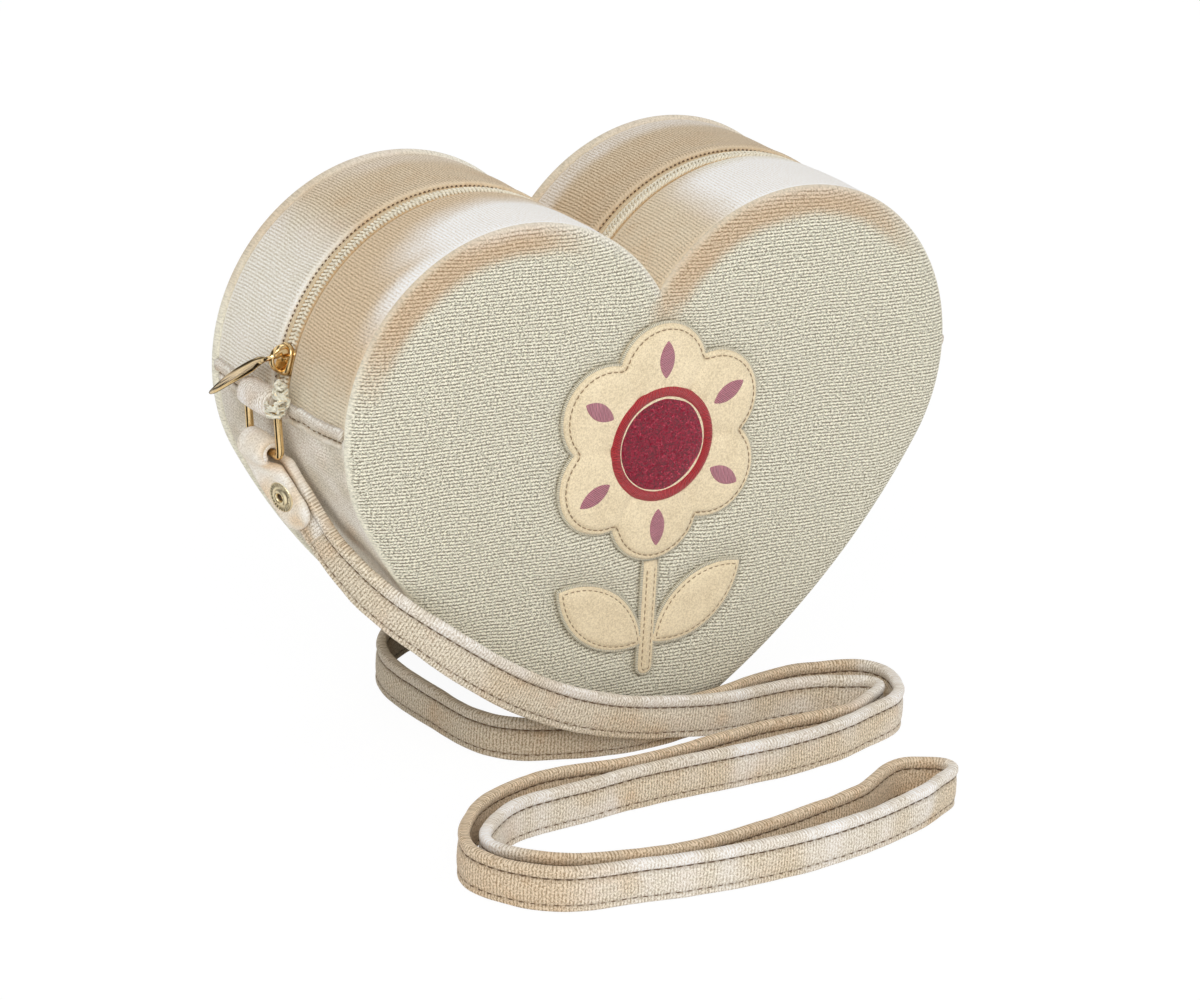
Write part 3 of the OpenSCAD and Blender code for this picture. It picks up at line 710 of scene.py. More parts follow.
def station_point(station, inset):
    """(x, z) of a station, drawn in by inset, and its outward direction."""
    centre, radius, angle, share, mirror, _ = station
    if share is not None:
        top = math.acos(max(-1.0, -LOBE_X / (LOBE_R - inset)))
        angle = top - top * share
    direction = (math.cos(angle), math.sin(angle))
    x = centre[0] + (radius - inset) * direction[0]
    z = centre[1] + (radius - inset) * direction[1]
    return mirror * x, z, mirror * direction[0], direction[1]


def split_stations(stations):
    """The stations of the top strips, which run over both lobes from ridge to ridge, and of the base."""
    beside_zip = [(index, station[4]) for index, station in enumerate(stations) if station[3] is not None]
    right = max(index for index, mirror in beside_zip if mirror > 0)
    left = min(index for index, mirror in beside_zip if mirror < 0)
    total = stations[-1][5]
    top = [(*station[:5], station[5] - total) for station in stations[left:-1]] + stations[:right + 1]
    return top, stations[right:left + 1]


def top_nap(x, y, nx, nz):
    """The painted sheen and shade on the strips beside the zip, from the direction of the lobe's outline:
    highlights on the crests and along the edges, a shaded tan over much of the rest and a little painted dark
    shade.
    """
    angle = math.degrees(math.atan2(nz, nx))
    if x < 0 and y < 0:
        lit = between(angle, 44, 98, 42) * between(y, -34, -20 - 0.1 * max(0.0, angle - 60), 16)
        lit = max(lit, 0.7 * between(angle, 36, 128, 30) * between(y, -34, -31.5, 7))
        turned = 0.75 * between(angle, 30, 156, 20) + 0.3
        return min(1.0, 1.4 * lit), turned, 0.1 * between(angle, 166, 190, 12)
    if x < 0:
        edge = between(y, 29.5, 34, 8) * between(angle, 60, 100, 30)
        return max(0.25 * edge, 0.5 * between(angle, 140, 186, 22)), 0.85 * between(angle, 28, 114, 34), 0.0
    if y < 0:
        lit = between(angle, 56, 102, 24) * between(y, -34, -13, 11)
        turned = 0.5 * between(angle, -10, 46, 20) + 0.65 * between(angle, 112, 150, 16)
        return min(1.0, 1.3 * lit), turned, 0.0
    return 0.5 * between(y, 30, 34, 6) * between(angle, 75, 140, 24), 0.9, 0.06


def base_nap(x, y, nx, nz):
    """The lower gusset's painted light and shade: a mottled highlight where it faces left, towards the key
    lamp, and a shaded tan where it faces down.
    """
    near = between(nx, -1, -0.85, 0.3)
    return 0.5 * near * (0.6 + wobble(x, y, nz * 60, 7, 2)), 0.25 * between(nz, -1, -0.2, 0.5), 0.0


def band(name, node, finish, stations, section, sway=0.0, nap=None, rows=9.0):
    """A strip of cloth along the outline.

    section is a list of (y, inset) round its cross-section, sway how far its face wavers, and rows how many
    millimetres from its edges the ribs may reach.
    """
    rings, weave, turns = [], [], []
    low = min(y for y, _ in section)
    high = max(y for y, _ in section)
    for station in stations:
        ring = []
        for y, inset in section:
            x, z, nx, nz = station_point(station, inset)
            edge = min(y - low, high - y)
            if sway and inset < 0.8:
                share = min(1.0, edge / 8)
                push = sway * share * (wobble(x, y, z, 17) + 0.5 * wobble(x, y, z, 8, 5))
                if -6 < z - 90 < 8:
                    crumple = wobble(y, math.copysign(1, x), z / 4, 3.2, 21)
                    push += 0.4 * share * crumple * between(z, 93, 99, 9)
                x, z = x + push * nx, z + push * nz
            ring.append((x, y, z))
            weave.append((station[5], y, min(edge, rows)))
            if nap:
                turns.append(nap(x, y, nx, nz))
        rings.append(ring)
    return make_piece(name, (*lofted(rings, weave), turns or None), finish, nodes=(node,))


def strip_section(y0, y1, inset, thickness, bulge=0.0, steps=12, dip=0.0, lip=0.0, corner=0.6):
    """The cross-section of a soft strip from y0 to y1: rounded corners, a bulge outwards and dipped edges.

    lip raises the fold of cloth beside the zip's slot.
    """
    outer, radius = [], min(thickness / 2, corner)
    for index in range(steps + 1):
        share = index / steps
        y = y0 + radius + (y1 - y0 - 2 * radius) * share
        gap = min(y - y0, y1 - y)
        lift = bulge * math.sin(math.pi * share) ** 0.6 - dip * math.exp(-(gap / 1.6) ** 2)
        if lip:
            lift += lip * math.exp(-((abs(abs(y) - SLOT_Y) - 1.6) / 1.3) ** 2)
        outer.append((y, inset - lift))
    first, last = outer[0][1], outer[-1][1]
    right = [(y1 - radius + radius * math.sin(turn), last + radius - radius * math.cos(turn))
             for turn in (math.pi / 4, math.pi / 2)]
    left = [(y0 + radius - radius * math.sin(turn), first + radius - radius * math.cos(turn))
            for turn in (math.pi / 2, math.pi / 4)]
    bottom = inset + thickness
    under = [(y1, bottom - 0.05), (y1 - 0.1, bottom), (y0 + 0.1, bottom), (y0, bottom - 0.05)]
    return outer + right + under + left


# Filled shapes, such as panels and petals


class Outline:
    """A closed outline in a plane, with the distance of any point from it."""

    def __init__(self, loop):
        self.loop = loop
        dense = []
        for index, (x, z) in enumerate(loop):
            nx, nz = loop[(index + 1) % len(loop)]
            pieces = max(1, math.ceil(math.hypot(nx - x, nz - z) / 0.4))
            dense += [(x + (nx - x) * k / pieces, z + (nz - z) * k / pieces) for k in range(pieces)]
        self.tree = kdtree.KDTree(len(dense))
        for index, (x, z) in enumerate(dense):
            self.tree.insert((x, z, 0), index)
        self.tree.balance()

    def distance(self, x, z):
        """The distance of a point from the outline."""
        return self.tree.find((x, z, 0))[2]

    def inside(self, x, z):
        """Whether the outline goes round a point."""
        within = False
        for index, (ax, az) in enumerate(self.loop):
            bx, bz = self.loop[index - 1]
            if (az > z) != (bz > z) and x < (bx - ax) * (z - az) / (bz - az) + ax:
                within = not within
        return within

    def drawn_in(self, inset):
        """The loop drawn in by a small distance, without the points that cross each other."""
        result, ahead = [], self.loop[1:] + self.loop[:1]
        area = sum(ax * bz - bx * az for (ax, az), (bx, bz) in zip(self.loop, ahead))
        sign = 1 if area > 0 else -1
        for index, (x, z) in enumerate(self.loop):
            ax, az = self.loop[index - 1]
            bx, bz = ahead[index]
            size = math.hypot(bx - ax, bz - az) or 1
            px, pz = x - sign * (bz - az) / size * inset, z + sign * (bx - ax) / size * inset
            if self.distance(px, pz) > inset * 0.97:
                result.append((px, pz))
        return result


def filled(outline, insets, grid):
    """Plane points and triangles over an outline: rings near its edge and an even grid inside."""
    count = len(outline.loop)
    flat = [Vector(point) for point in outline.loop]
    for inset in insets:
        flat += [Vector(point) for point in outline.drawn_in(inset)]
    xs, zs = [x for x, _ in outline.loop], [z for _, z in outline.loop]
    deepest = insets[-1] + grid * 0.6
    row, z = 0, min(zs)
    while z < max(zs):
        x = min(xs) + (grid / 2 if row % 2 else 0)
        while x < max(xs):
            if outline.distance(x, z) > deepest and outline.inside(x, z):
                flat.append(Vector((x, z)))
            x += grid
        z += grid * 0.87
        row += 1
    edges = [(index, (index + 1) % count) for index in range(count)]
    verts, _, faces, _, _, _ = delaunay_2d_cdt(flat, edges, [], 1, 1e-5)
    return [(vert.x, vert.y) for vert in verts], [tuple(face) for face in faces]


def padded_shape(outline, insets, grid, height, base_y, facing, weave, back=0.2, rims=(), nap=None):
    """The form of a closed soft plate: its face rises by height(x, z, distance) from base_y.

    facing is -1 for a face towards -Y and 1 towards +Y; back is how far its flat back lies behind base_y.
    rims are further (loop, y) rings behind the outline, each loop with a point for each of the outline's.
    """
    flat, faces = filled(outline, insets, grid)
    points, values, turns = [], [], []

    def add(x, y, z, distance):
        points.append((x, y, z))
        values.append(weave(x, z, distance))
        if nap:
            turns.append(nap(x, z, distance))

    for x, z in flat:
        distance = outline.distance(x, z)
        add(x, base_y + facing * height(x, z, distance), z, distance)
    faces = [face if facing < 0 else face[::-1] for face in faces]
    directed = {(a, b) for face in faces for a, b in zip(face, face[1:] + face[:1])}
    rim = {a: b for a, b in directed if (b, a) not in directed}
    loop = [min(rim)]
    while rim[loop[-1]] != loop[0]:
        loop.append(rim[loop[-1]])
    tree = kdtree.KDTree(len(outline.loop))
    for index, (x, z) in enumerate(outline.loop):
        tree.insert((x, z, 0), index)
    tree.balance()
    order = [tree.find((*flat[index], 0))[1] for index in loop]
    last = loop
    for ring, y in list(rims) or [(outline.loop, base_y - facing * back)]:
        first = len(points)
        for index in order:
            add(ring[index][0], y, ring[index][1], 0.0)
        here = list(range(first, first + len(loop)))
        for place in range(len(loop)):
            after = (place + 1) % len(loop)
            faces.append((last[after], last[place], here[place], here[after]))
        last = here
    faces.append(tuple(last))
    return points, faces, values, turns or None


def rounded(distance, width):
    """A quarter-round rise from 0 at the edge to 1 at that width."""
    share = min(1.0, max(0.0, distance / width))
    return math.sqrt(1 - (1 - share) ** 2)


def flower_radius(angle):
    """The flower's outline as a distance from its middle."""
    best = PETAL_RING_R
    for petal in range(PETALS):
        off = (angle - math.pi / 2 - TAU * petal / PETALS + math.pi) % TAU - math.pi
        under = PETAL_R ** 2 - (PETAL_RING_R * math.sin(off)) ** 2
        if under > 0 and abs(off) < math.pi / 2:
            best = max(best, PETAL_RING_R * math.cos(off) + math.sqrt(under))
    return best


def flower_loop(count=300):
    """The flower's outline in (x, z)."""
    return [(flower_radius(angle) * math.cos(angle), FLOWER_Z + flower_radius(angle) * math.sin(angle))
            for angle in around(count)]


def lens(middle, span, width, turn, count=60):
    """A pointed leaf outline about its middle, turned by an angle."""
    radius = (span * span + width * width) / (4 * width)
    half = math.asin(span / 2 / radius)
    result = []
    for side in (1, -1):
        for index in range(count // 2):
            angle = half - 2 * half * index / (count // 2)
            x, z = side * radius * math.sin(angle), side * (radius * math.cos(angle) - radius + width / 2)
            result.append((middle[0] + x * math.cos(turn) - z * math.sin(turn),
                           middle[1] + x * math.sin(turn) + z * math.cos(turn)))
    return result[::-1]


def stem_loops():
    """The outlines of the stem and the two leaves."""
    top, foot = FLOWER_Z - flower_radius(-math.pi / 2) - 0.1, STEM_LOW + STEM_HALF
    run = top - STEM_LOW - STEM_HALF
    stem = [(-STEM_HALF, top - k * run / 12) for k in range(13)]
    stem += [(-STEM_HALF * math.cos(TAU * k / 24), foot - STEM_HALF * math.sin(TAU * k / 24))
             for k in range(1, 12)]
    stem += [(STEM_HALF, foot + k * run / 12) for k in range(13)]
    leaves = [lens((side * LEAF_X, LEAF_Z), LEAF_SPAN, LEAF_WIDTH, side * LEAF_TURN) for side in (-1, 1)]
    return [stem] + leaves


# Stitches


def stitch_row(places, outward, pitch, radius, share=0.62):
    """The form of a row of thread stitches along places.

    outward gives the surface's direction at each place; each stitch dips into the cloth at both ends.
    """
    run, marks = 0.0, [0.0]
    for before, after in zip(places, places[1:]):
        run += (after - before).length
        marks.append(run)

    def at(distance):
        """The place at that distance along the row, and the surface's direction there."""
        distance = max(0.0, min(run, distance))
        low, high = 0, len(marks) - 1
        while high - low > 1:
            middle = (low + high) // 2
            low, high = (middle, high) if marks[middle] <= distance else (low, middle)
        t = (distance - marks[low]) / max(1e-9, marks[high] - marks[low])
        return places[low].lerp(places[high], t), outward[low].lerp(outward[high], t).normalized()

    parts = []
    count = int(run / pitch)
    for index in range(count):
        start = (index + 0.2) * run / count
        path, radii = [], []
        for k, (rise, swell) in enumerate(((-0.9, 0.75), (0.1, 1.0), (0.45, 1.08), (0.1, 1.0), (-0.9, 0.75))):
            place, out = at(start + pitch * share * k / 4)
            path.append(place + out * radius * rise)
            radii.append(radius * swell)
        parts.append(tube(path, radii, 6))
    return join_parts(parts)


# The strap's route, as the frame has it


STRAP_POINTS = [
    (-90.6, -16.4, 66.4), (-84, -28, 54.8), (-69.5, -43, 42), (-32, -47.5, 19), (12, -48, 8.5),
    (58, -47.5, 6), (67, -54, 6), (58, -62, 6), (16, -66, 6), (-25, -70, 6),
    (-54, -68, 6), (-80, -80, 6), (-92, -100, 6), (-82, -118, 6), (-55, -125.5, 6),
    (20, -124, 6), (42, -116, 6), (51, -109, 6), (44, -103, 6), (19, -112, 6),
    (-18, -119.5, 6), (-55, -120, 6), (-78, -111, 6), (-86, -98, 6), (-74, -84, 6),
    (-38, -77, 6), (50, -70, 6), (70, -60, 6), (73, -45, 6), (57, -37, 6),
    (20, -41, 6), (-15, -43, 6), (-42, -32, 6), (-47.5, -5, 6), (-42, 31, 6),
    (-12, 48.5, 7.5), (32, 47.5, 19), (69.5, 43, 42), (84, 28, 54.8), (90.6, 16.4, 66.4)]
END_DIR = Vector((0.29, -0.588, -0.755))
END_ROLL = math.radians(17.5)
ROLL_SHARE = 0.0625


class StrapRoute:
    """The strap's middle line, with its width and face directions."""

    def __init__(self):
        self.points = [Vector(point) for point in STRAP_POINTS]
        self.last = len(self.points) - 1

    def leg(self, index):
        """The step from one point to the next."""
        return self.points[index + 1] - self.points[index]

    def course(self, index):
        """The strap's direction at a point."""
        if index == 0:
            return END_DIR
        if index == self.last:
            return Vector((END_DIR.x, END_DIR.y, -END_DIR.z))
        before, after = self.leg(index - 1), self.leg(index)
        return (before.normalized() * after.length + after.normalized() * before.length).normalized()

    def at(self, index, t):
        """(place, course, width direction, face direction) a share t along a leg."""
        size = self.leg(index).length
        start, end = self.points[index], self.points[index + 1]
        go, come = self.course(index) * size, self.course(index + 1) * size
        place = ((2 * t ** 3 - 3 * t * t + 1) * start + (t ** 3 - 2 * t * t + t) * go
                 + (3 * t * t - 2 * t ** 3) * end + (t ** 3 - t * t) * come)
        course = ((6 * t * t - 6 * t) * start + (3 * t * t - 4 * t + 1) * go
                  + (6 * t - 6 * t * t) * end + (3 * t * t - 2 * t) * come).normalized()
        along = index + t
        reach = self.last * ROLL_SHARE
        roll = END_ROLL * (max(0.0, 1 - along / reach) - max(0.0, 1 - (self.last - along) / reach))
        up = (Vector((0, 0, 1)) - course.z * course).normalized()
        side = course.cross(up)
        width = up * math.cos(roll) + side * math.sin(roll)
        return place, course, width, width.cross(course)

    def stations(self, step):
        """Stations about every step millimetres, with their run along the strap and place on the route."""
        result, run, previous = [], 0.0, None
        for index in range(self.last):
            pieces = max(3, round(self.leg(index).length / step))
            for piece in range(pieces + (1 if index == self.last - 1 else 0)):
                place, course, width, face = self.at(index, piece / pieces)
                if previous is not None:
                    run += (place - previous).length
                previous = place
                result.append((place, course, width, face, run, index + piece / pieces))
        return result


def strap_half(w):
    """Half the strap's thickness at w: a round roll along each edge, a stitched groove and a soft middle."""
    groove, roll = (TOP_SEAM, 1.75) if w > 0 else (LOW_SEAM, 1.45)
    edge = STRAP_W / 2 - abs(w)
    if edge < groove:
        share = edge / groove
        roll *= max(0.0, 1 - abs(2 * share - 0.95) ** 2.3) ** 0.5
        return roll * (1 - share) ** 0.25 + 0.85 * share ** 3
    inner = STRAP_W - TOP_SEAM - LOW_SEAM
    across = min(edge - groove, inner - (edge - groove))
    return 0.95 + 0.55 * rounded(across, inner / 2 * 0.75)


def strap_section():
    """(w, n) round the strap's section: across its width and out of its face."""
    count = 17
    rows = [STRAP_W / 2 * math.cos(math.pi * k / count) for k in range(1, count)]
    rows += [row + off for row in SEAM_ROWS for off in (-0.3, 0.05, 0.4)]
    result = []
    for side in (1, -1):
        result += [(w, side * strap_half(w)) for w in sorted(rows, reverse=side > 0)]
        result.append((-side * STRAP_W / 2, 0.0))
    return result


def strap_waver(run, total, w):
    """How the strap strays: (fade to 0 at its ends, drift along its width, push off its face)."""
    fade = min(1.0, min(run, total - run) / 12)
    push = fade * (0.18 * wobble(run, w, 5, 6) + 0.35 * wobble(run, 3, 8, 25))
    return fade, 0.3 * wobble(run, 4, 1, 40), push


def strap_nap(along, w, run):
    """The strap's painted sheen and shade; along counts the points of its route.

    A highlight on its upper edge and in pale patches, a shaded tan in random patches and along three
    stretches of the route, and dark shade along the stitched grooves and where the strap runs behind the bag.
    """
    top = between(w, STRAP_W / 2 - TOP_SEAM + 0.5, STRAP_W, 0.7)
    inner = max(between(along, *span) for span in ((7.5, 13, 1.0), (17.5, 22, 1.0), (28.5, 30.5, 0.6)))
    # Painted shade where the strap runs behind the bag
    back = between(along, 31.2, 37, 1.0)
    patch = 0.45 + 0.8 * wobble(run, w, 9, 31) + 0.7 * wobble(run, w, 3.5, 12)
    ends = between(run, 30, 1180, 12)
    # Painted shade along the stitched grooves
    seam = max(deep * math.exp(-((w - row) / 0.35) ** 2) for row, deep in zip(SEAM_ROWS, (0.55, 0.4)))
    pale = (0.1 + 0.35 * between(along, 5.5, 30, 2.5)) * between(patch, -9, 0.3, 0.5)
    lit = (0.4 * top + pale) * (1 - inner) * (1 - 0.7 * back) * ends
    lit *= 0.85 + 0.6 * wobble(run, 2, 1, 6, 3)
    tan = max(0.75 * inner, 0.4 * min(1.0, max(0.0, patch)) * (1 - 0.5 * top))
    return min(1.0, max(0.0, lit)), tan, min(1.0, seam + 0.25 * back)


# Operators


class BagOperator:
    """What the operators share."""
    bl_options = {"REGISTER", "UNDO"}

    def execute(self, context):
        self.build(context)
        return {"FINISHED"}


class BAG_OT_camera(BagOperator, bpy.types.Operator):
    """Sets the camera at the photograph's place and direction"""
    bl_idname = "bag.camera"
    bl_label = "Camera"

    def build(self, context):
        azimuth, elevation, roll = VIEW_TURN
        back = Vector((math.sin(azimuth) * math.cos(elevation), -math.cos(azimuth) * math.cos(elevation),
                       math.sin(elevation)))
        level = Vector((math.cos(azimuth), math.sin(azimuth), 0))
        up = back.cross(level)
        right = math.cos(roll) * level + math.sin(roll) * up
        up = -math.sin(roll) * level + math.cos(roll) * up
        data = bpy.data.cameras.new("camera")
        data.sensor_fit, data.sensor_width, data.lens = "HORIZONTAL", 36, VIEW_LENS
        data.clip_start, data.clip_end = 0.05, 30
        camera = add_object("camera", data)
        camera.matrix_world = Matrix.Translation(VIEW_PLACE) @ Matrix((right, up, back)).transposed().to_4x4()
        context.scene.camera = camera


class BAG_OT_strap(BagOperator, bpy.types.Operator):
    """Lays the flat velvet strap along its route, with its two rows of stitches"""
    bl_idname = "bag.strap"
    bl_label = "Strap"

    def build(self, context):
        size = sizes()
        stations = StrapRoute().stations(1.0)
        total = stations[-1][4]
        section = strap_section()
        rings, weave, nap = [], [], []
        for place, _, width, face, run, along in stations:
            ring = []
            for w, n in section:
                fade, drift, push = strap_waver(run, total, w)
                if STRAP_W / 2 - abs(w) < 2:
                    drift += 0.22 * wobble(run, 10 * (w > 0), 3, 11)
                swell = 1 + fade * 0.1 * wobble(run, 0, 7, 9)
                point = place + width * (w + fade * drift) + face * (n * swell + push)
                ring.append((point.x, point.y, max(point.z, 0.02)))
                weave.append((run, w, 6.0))
                nap.append(strap_nap(along, w, run))
            rings.append(ring)
        strap = make_piece("strap_velvet", (*lofted(rings, weave), nap), "strap_velvet",
                           nodes=("strap",))
        parts = []
        for side in (1, -1):
            for row in SEAM_ROWS:
                places, outward = [], []
                for place, _, width, face, run, _ in stations:
                    fade, drift, push = strap_waver(run, total, row)
                    places.append(place + width * (row + fade * drift) + face * (side + push))
                    outward.append(face * side)
                parts.append(stitch_row(places, outward, size["stitch_pitch"], size["thread_radius"]))
        # The stitches' dark colour also paints the shade in their grooves
        seam = make_piece("strap_stitches", join_parts(parts)[:2], "dark_thread", body="bag")
        path = [tuple(place * MM) for place, *_ in stations]


def panel_weave(x, z, distance):
    """The ribs of a panel, which run almost level."""
    return (z + 0.02 * x, x, distance)


def panel_nap(x, z, distance):
    """A panel's painted sheen and shade: a shaded tan band along the lobes, a painted highlight on their
    edge, and painted shade in the crease below the cleft.
    """
    side = -1 if x < 0 else 1
    angle = math.degrees(math.atan2(z - LOBE_Z, x - side * LOBE_X)) % 360
    if side < 0:
        strength = between(angle, 92, 142, 32)
        lit = 0.3 * between(angle, 12, 95, 25)
    else:
        strength = 0.95 * between(angle, 70, 136, 40)
        lit = 0.15 * between(angle, 50, 95, 25)
    turned = strength * between(distance, 1.9, 4.9, 4.2)
    lit *= between(distance, 0, 0.5, 3.5)
    cleft_z = LOBE_Z + math.sqrt(LOBE_R ** 2 - LOBE_X ** 2)
    # Painted shade in the crease below the cleft
    cleft_shade = math.exp(-((x - 2) / 5) ** 2 - ((z - cleft_z + 8) / 6) ** 2)
    return lit, max(min(1.0, turned), 0.1 * cleft_shade), 0.0


class BAG_OT_panels(BagOperator, bpy.types.Operator):
    """Builds the padded front and back velvet panels"""
    bl_idname = "bag.panels"
    bl_label = "Panels"

    def build(self, context):
        size = sizes()
        stations = outline_stations(size["outline_step"])[:-1]

        def loop(inset):
            """The bag's outline, drawn in."""
            return [station_point(station, inset)[:2] for station in stations]

        flower = Outline(flower_loop(240))
        leaves = [Outline(points) for points in stem_loops()]
        insets = [0.2, 0.5, 0.9, 1.4, 2.0, 2.7, 3.5, 4.4, 5.4, 6.5, 7.8, 9.2]
        width, puff, depth = size["crown_width"], size["panel_puff"], size["halo_depth"]

        def halo(x, z):
            """How far the sewn flower and leaves pull the velvet in, from 0 to 1."""
            pull = 0.0
            near = [flower] if abs(x) < 42 and abs(z - FLOWER_Z) < 42 else []
            near += [leaf for leaf in leaves if z < 58 and abs(x) < 40]
            for shape in near:
                gap = shape.distance(x, z)
                if gap < 9:
                    pull = max(pull, math.exp(-(gap / 3.2) ** 1.6))
            return pull

        def soft(x, z, distance, seed):
            """A panel's slow unevenness."""
            uneven = 0.35 * wobble(x, seed, z, 26) + 0.14 * wobble(x, seed, z, 10, 4)
            return min(1.0, distance / 10) * uneven

        def crown(distance, rise, width):
            """The rounded edge of a panel and its puffed middle."""
            return (rise - puff) * rounded(distance, width) + puff * (1 - math.exp(-(distance / 22) ** 2))

        def front(x, z, distance):
            """The front panel's height."""
            height = crown(distance, FACE_Y - SEAM_Y - 0.35, width) + soft(x, z, distance, 0)
            return max(0.0, height - depth * halo(x, z) * min(1.0, distance / 6))

        def back(x, z, distance):
            """The back panel's height."""
            return max(0.0, crown(distance, BACK_Y - SEAM_Y - 1.7, width * 1.1) + soft(x, z, distance, 9))

        rows = (("front_velvet", "front_panel", front, -1, 0.15, 0.35,
                 ((0.1, 0.18), (0.0, 0.03), (-0.3, 0.0))),
                ("back_velvet", "back_panel", back, 1, 0.8, 1.7,
                 ((0.7, 0.9), (0.4, 0.35), (0.05, 0.02), (-0.3, 0.0))))
        for name, node, height, facing, proud, start, edges in rows:
            rims = [(loop(-out), facing * (SEAM_Y + forward)) for out, forward in edges]
            form = padded_shape(Outline(loop(-proud)), insets, 1.7, height, facing * (SEAM_Y + start), facing,
                                panel_weave, rims=rims, nap=panel_nap)
            make_piece(name, form, "panel_velvet", nodes=(node,))


class BAG_OT_gusset(BagOperator, bpy.types.Operator):
    """Builds the velvet gusset round the sides: two strips beside the zip and one round the base"""
    bl_idname = "bag.gusset"
    bl_label = "Gusset"

    def build(self, context):
        top, base = split_stations(outline_stations(sizes()["outline_step"]))
        edge = SEAM_Y - 0.02
        front = strip_section(-edge, -SLOT_Y, 0.0, 1.6, bulge=0.3, steps=30, lip=0.05, corner=0.4)
        rear = strip_section(-edge, -SLOT_Y, 0.0, 1.6, bulge=0.3, steps=30, lip=0.35, corner=0.25)
        rear = [(-y, inset) for y, inset in reversed(rear)]
        under = strip_section(-edge, edge, 0.0, 1.6, bulge=0.2, steps=44, dip=0.1, corner=0.25)
        band("top_velvet_front", "top_gusset_front", "gusset_velvet", top, front, 0.35, top_nap,
             rows=1.0)
        band("top_velvet_rear", "top_gusset_rear", "gusset_velvet", top, rear, 0.35, top_nap)
        band("base_velvet", "base_gusset", "base_velvet", base, under, 0.8, base_nap)


class BAG_OT_inside(BagOperator, bpy.types.Operator):
    """Builds the foam, the lining, the seam bindings and the zip tapes inside the velvet"""
    bl_idname = "bag.inside"
    bl_label = "Foam and lining"

    def build(self, context):
        stations = outline_stations(2.4)
        top, base = split_stations(stations)
        # The inset and the thickness of the strips of each slot
        depths = {"padding": (1.7, 1.8), "lining": (3.6, 0.6), "binding": (4.3, 1.0), "zip_tape": (1.2, 0.8)}
        edge = 30.8
        rows = [
            ("foam_top_front", "top_padding_front", "foam", "padding", top, -edge, -12.1),
            ("foam_top_rear", "top_padding_rear", "foam", "padding", top, 12.1, edge),
            ("foam_base", "base_padding", "foam", "padding", base, -edge, edge),
            ("lining_top_front", "top_lining_front", "lining", "lining", top, -edge, -6.0),
            ("lining_top_rear", "top_lining_rear", "lining", "lining", top, 6.0, edge),
            ("lining_base", "base_lining", "lining", "lining", base, -edge, edge),
            ("binding_front", "front_binding", "binding", "binding", stations, -edge, -24.8),
            ("binding_rear", "rear_binding", "binding", "binding", stations, 24.8, edge),
            ("tape_front", "zip_tape_front", "zip_cloth", "zip_tape", top, -12.0, -1.6),
            ("tape_rear", "zip_tape_rear", "zip_cloth", "zip_tape", top, 1.6, 12.0),
        ]
        for name, node, finish, slot, where, y0, y1 in rows:
            piece = band(name, node, finish, where, strip_section(y0, y1, *depths[slot], steps=10))
            finish == "foam"
        outline = Outline([station_point(station, 1.75)[:2] for station in stations[:-1]])
        sheets = (("padding", "foam", 31.6, 1.75), ("lining", "lining", 30.9, 0.55))
        for side, label in ((-1, "front"), (1, "back")):
            for kind, finish, near, thickness in sheets:
                form = padded_shape(outline, [0.6, 1.4], 6, self.sheet(thickness), side * near, side,
                                    panel_weave, back=0.0001)
                piece = make_piece(f"{label}_{kind}_sheet", form, finish, nodes=(f"{label}_{kind}",))
                finish == "foam"

    def sheet(self, thickness):
        """The height of an even sheet with a rounded edge."""
        return lambda x, z, distance: (thickness - 0.3) * rounded(distance, 1.2) + 0.3


class BAG_OT_ridges(BagOperator, bpy.types.Operator):
    """Builds the folded and stitched ridge where the top and base gussets meet"""
    bl_idname = "bag.ridges"
    bl_label = "Gusset ridges"

    def build(self, context):
        size = sizes()
        fold_x, fold_z = 95.0, 97.9
        for side, label in ((-1, "left"), (1, "right")):
            rings, weave, nap, places = [], [], [], []
            steps = 60
            for k in range(steps + 1):
                y = side * (-SEAM_Y + 0.3 + (2 * SEAM_Y - 0.6) * k / steps)
                sag = 0.55 * wobble(y, side * 3, 2, 9) + 0.2 * wobble(y, side, 5, 3) + 0.9
                sag += max(0.0, -y) * 0.05 + 0.35 * wobble(y, side, 9, 2.2)
                ring = []
                for turn, angle in enumerate(around(16)):
                    out = 0.55 + math.cos(angle)
                    up = fold_z + sag + 1.75 * math.sin(angle) + 0.25 * math.cos(2 * angle)
                    ring.append((side * (fold_x + out), y, up))
                    weave.append((up * 1.1 + out, y, up))
                    # Painted highlight, stronger on the fold's upper side, a shaded tan all over, and a
                    # darker line near its top
                    light = 0.45 + 0.35 * math.sin(angle) + 0.3 * wobble(y, turn, 4, 6)
                    nap.append((light, 0.4, 0.35 * (turn in (3, 4))))
                rings.append(ring)
                low = fold_z - 2.5 + sag + 0.25 * wobble(y, 2, side, 2.5)
                places.append(Vector((side * (fold_x + 0.25), y, low)))
            make_piece(f"gusset_fold_{label}", (*lofted(rings, weave), nap), "base_velvet",
                       nodes=(f"gusset_ridge_{label}",))
            row = stitch_row(places, [Vector((side, 0, 0))] * len(places), 2.6, size["thread_radius"])
            make_piece(f"gusset_fold_stitches_{label}", row[:2], "thread", body="bag")
            inner = places[1:-1]
            points, faces, weave = tube([(place.x - side * 0.55, place.y, place.z - 1.1) for place in inner],
                                        [0.95 + 0.2 * wobble(place.y, 1, side, 3) for place in inner], 14)
            # Mottled painted highlights and a little shaded tan
            roll = (points, faces, [(u, v, 0.5) for u, v, _ in weave],
                    [(0.35 + 0.5 * wobble(*point, 5, 3), 0.3, 0.0) for point in points])
            make_piece(f"gusset_roll_{label}", roll, "base_velvet", body="bag")


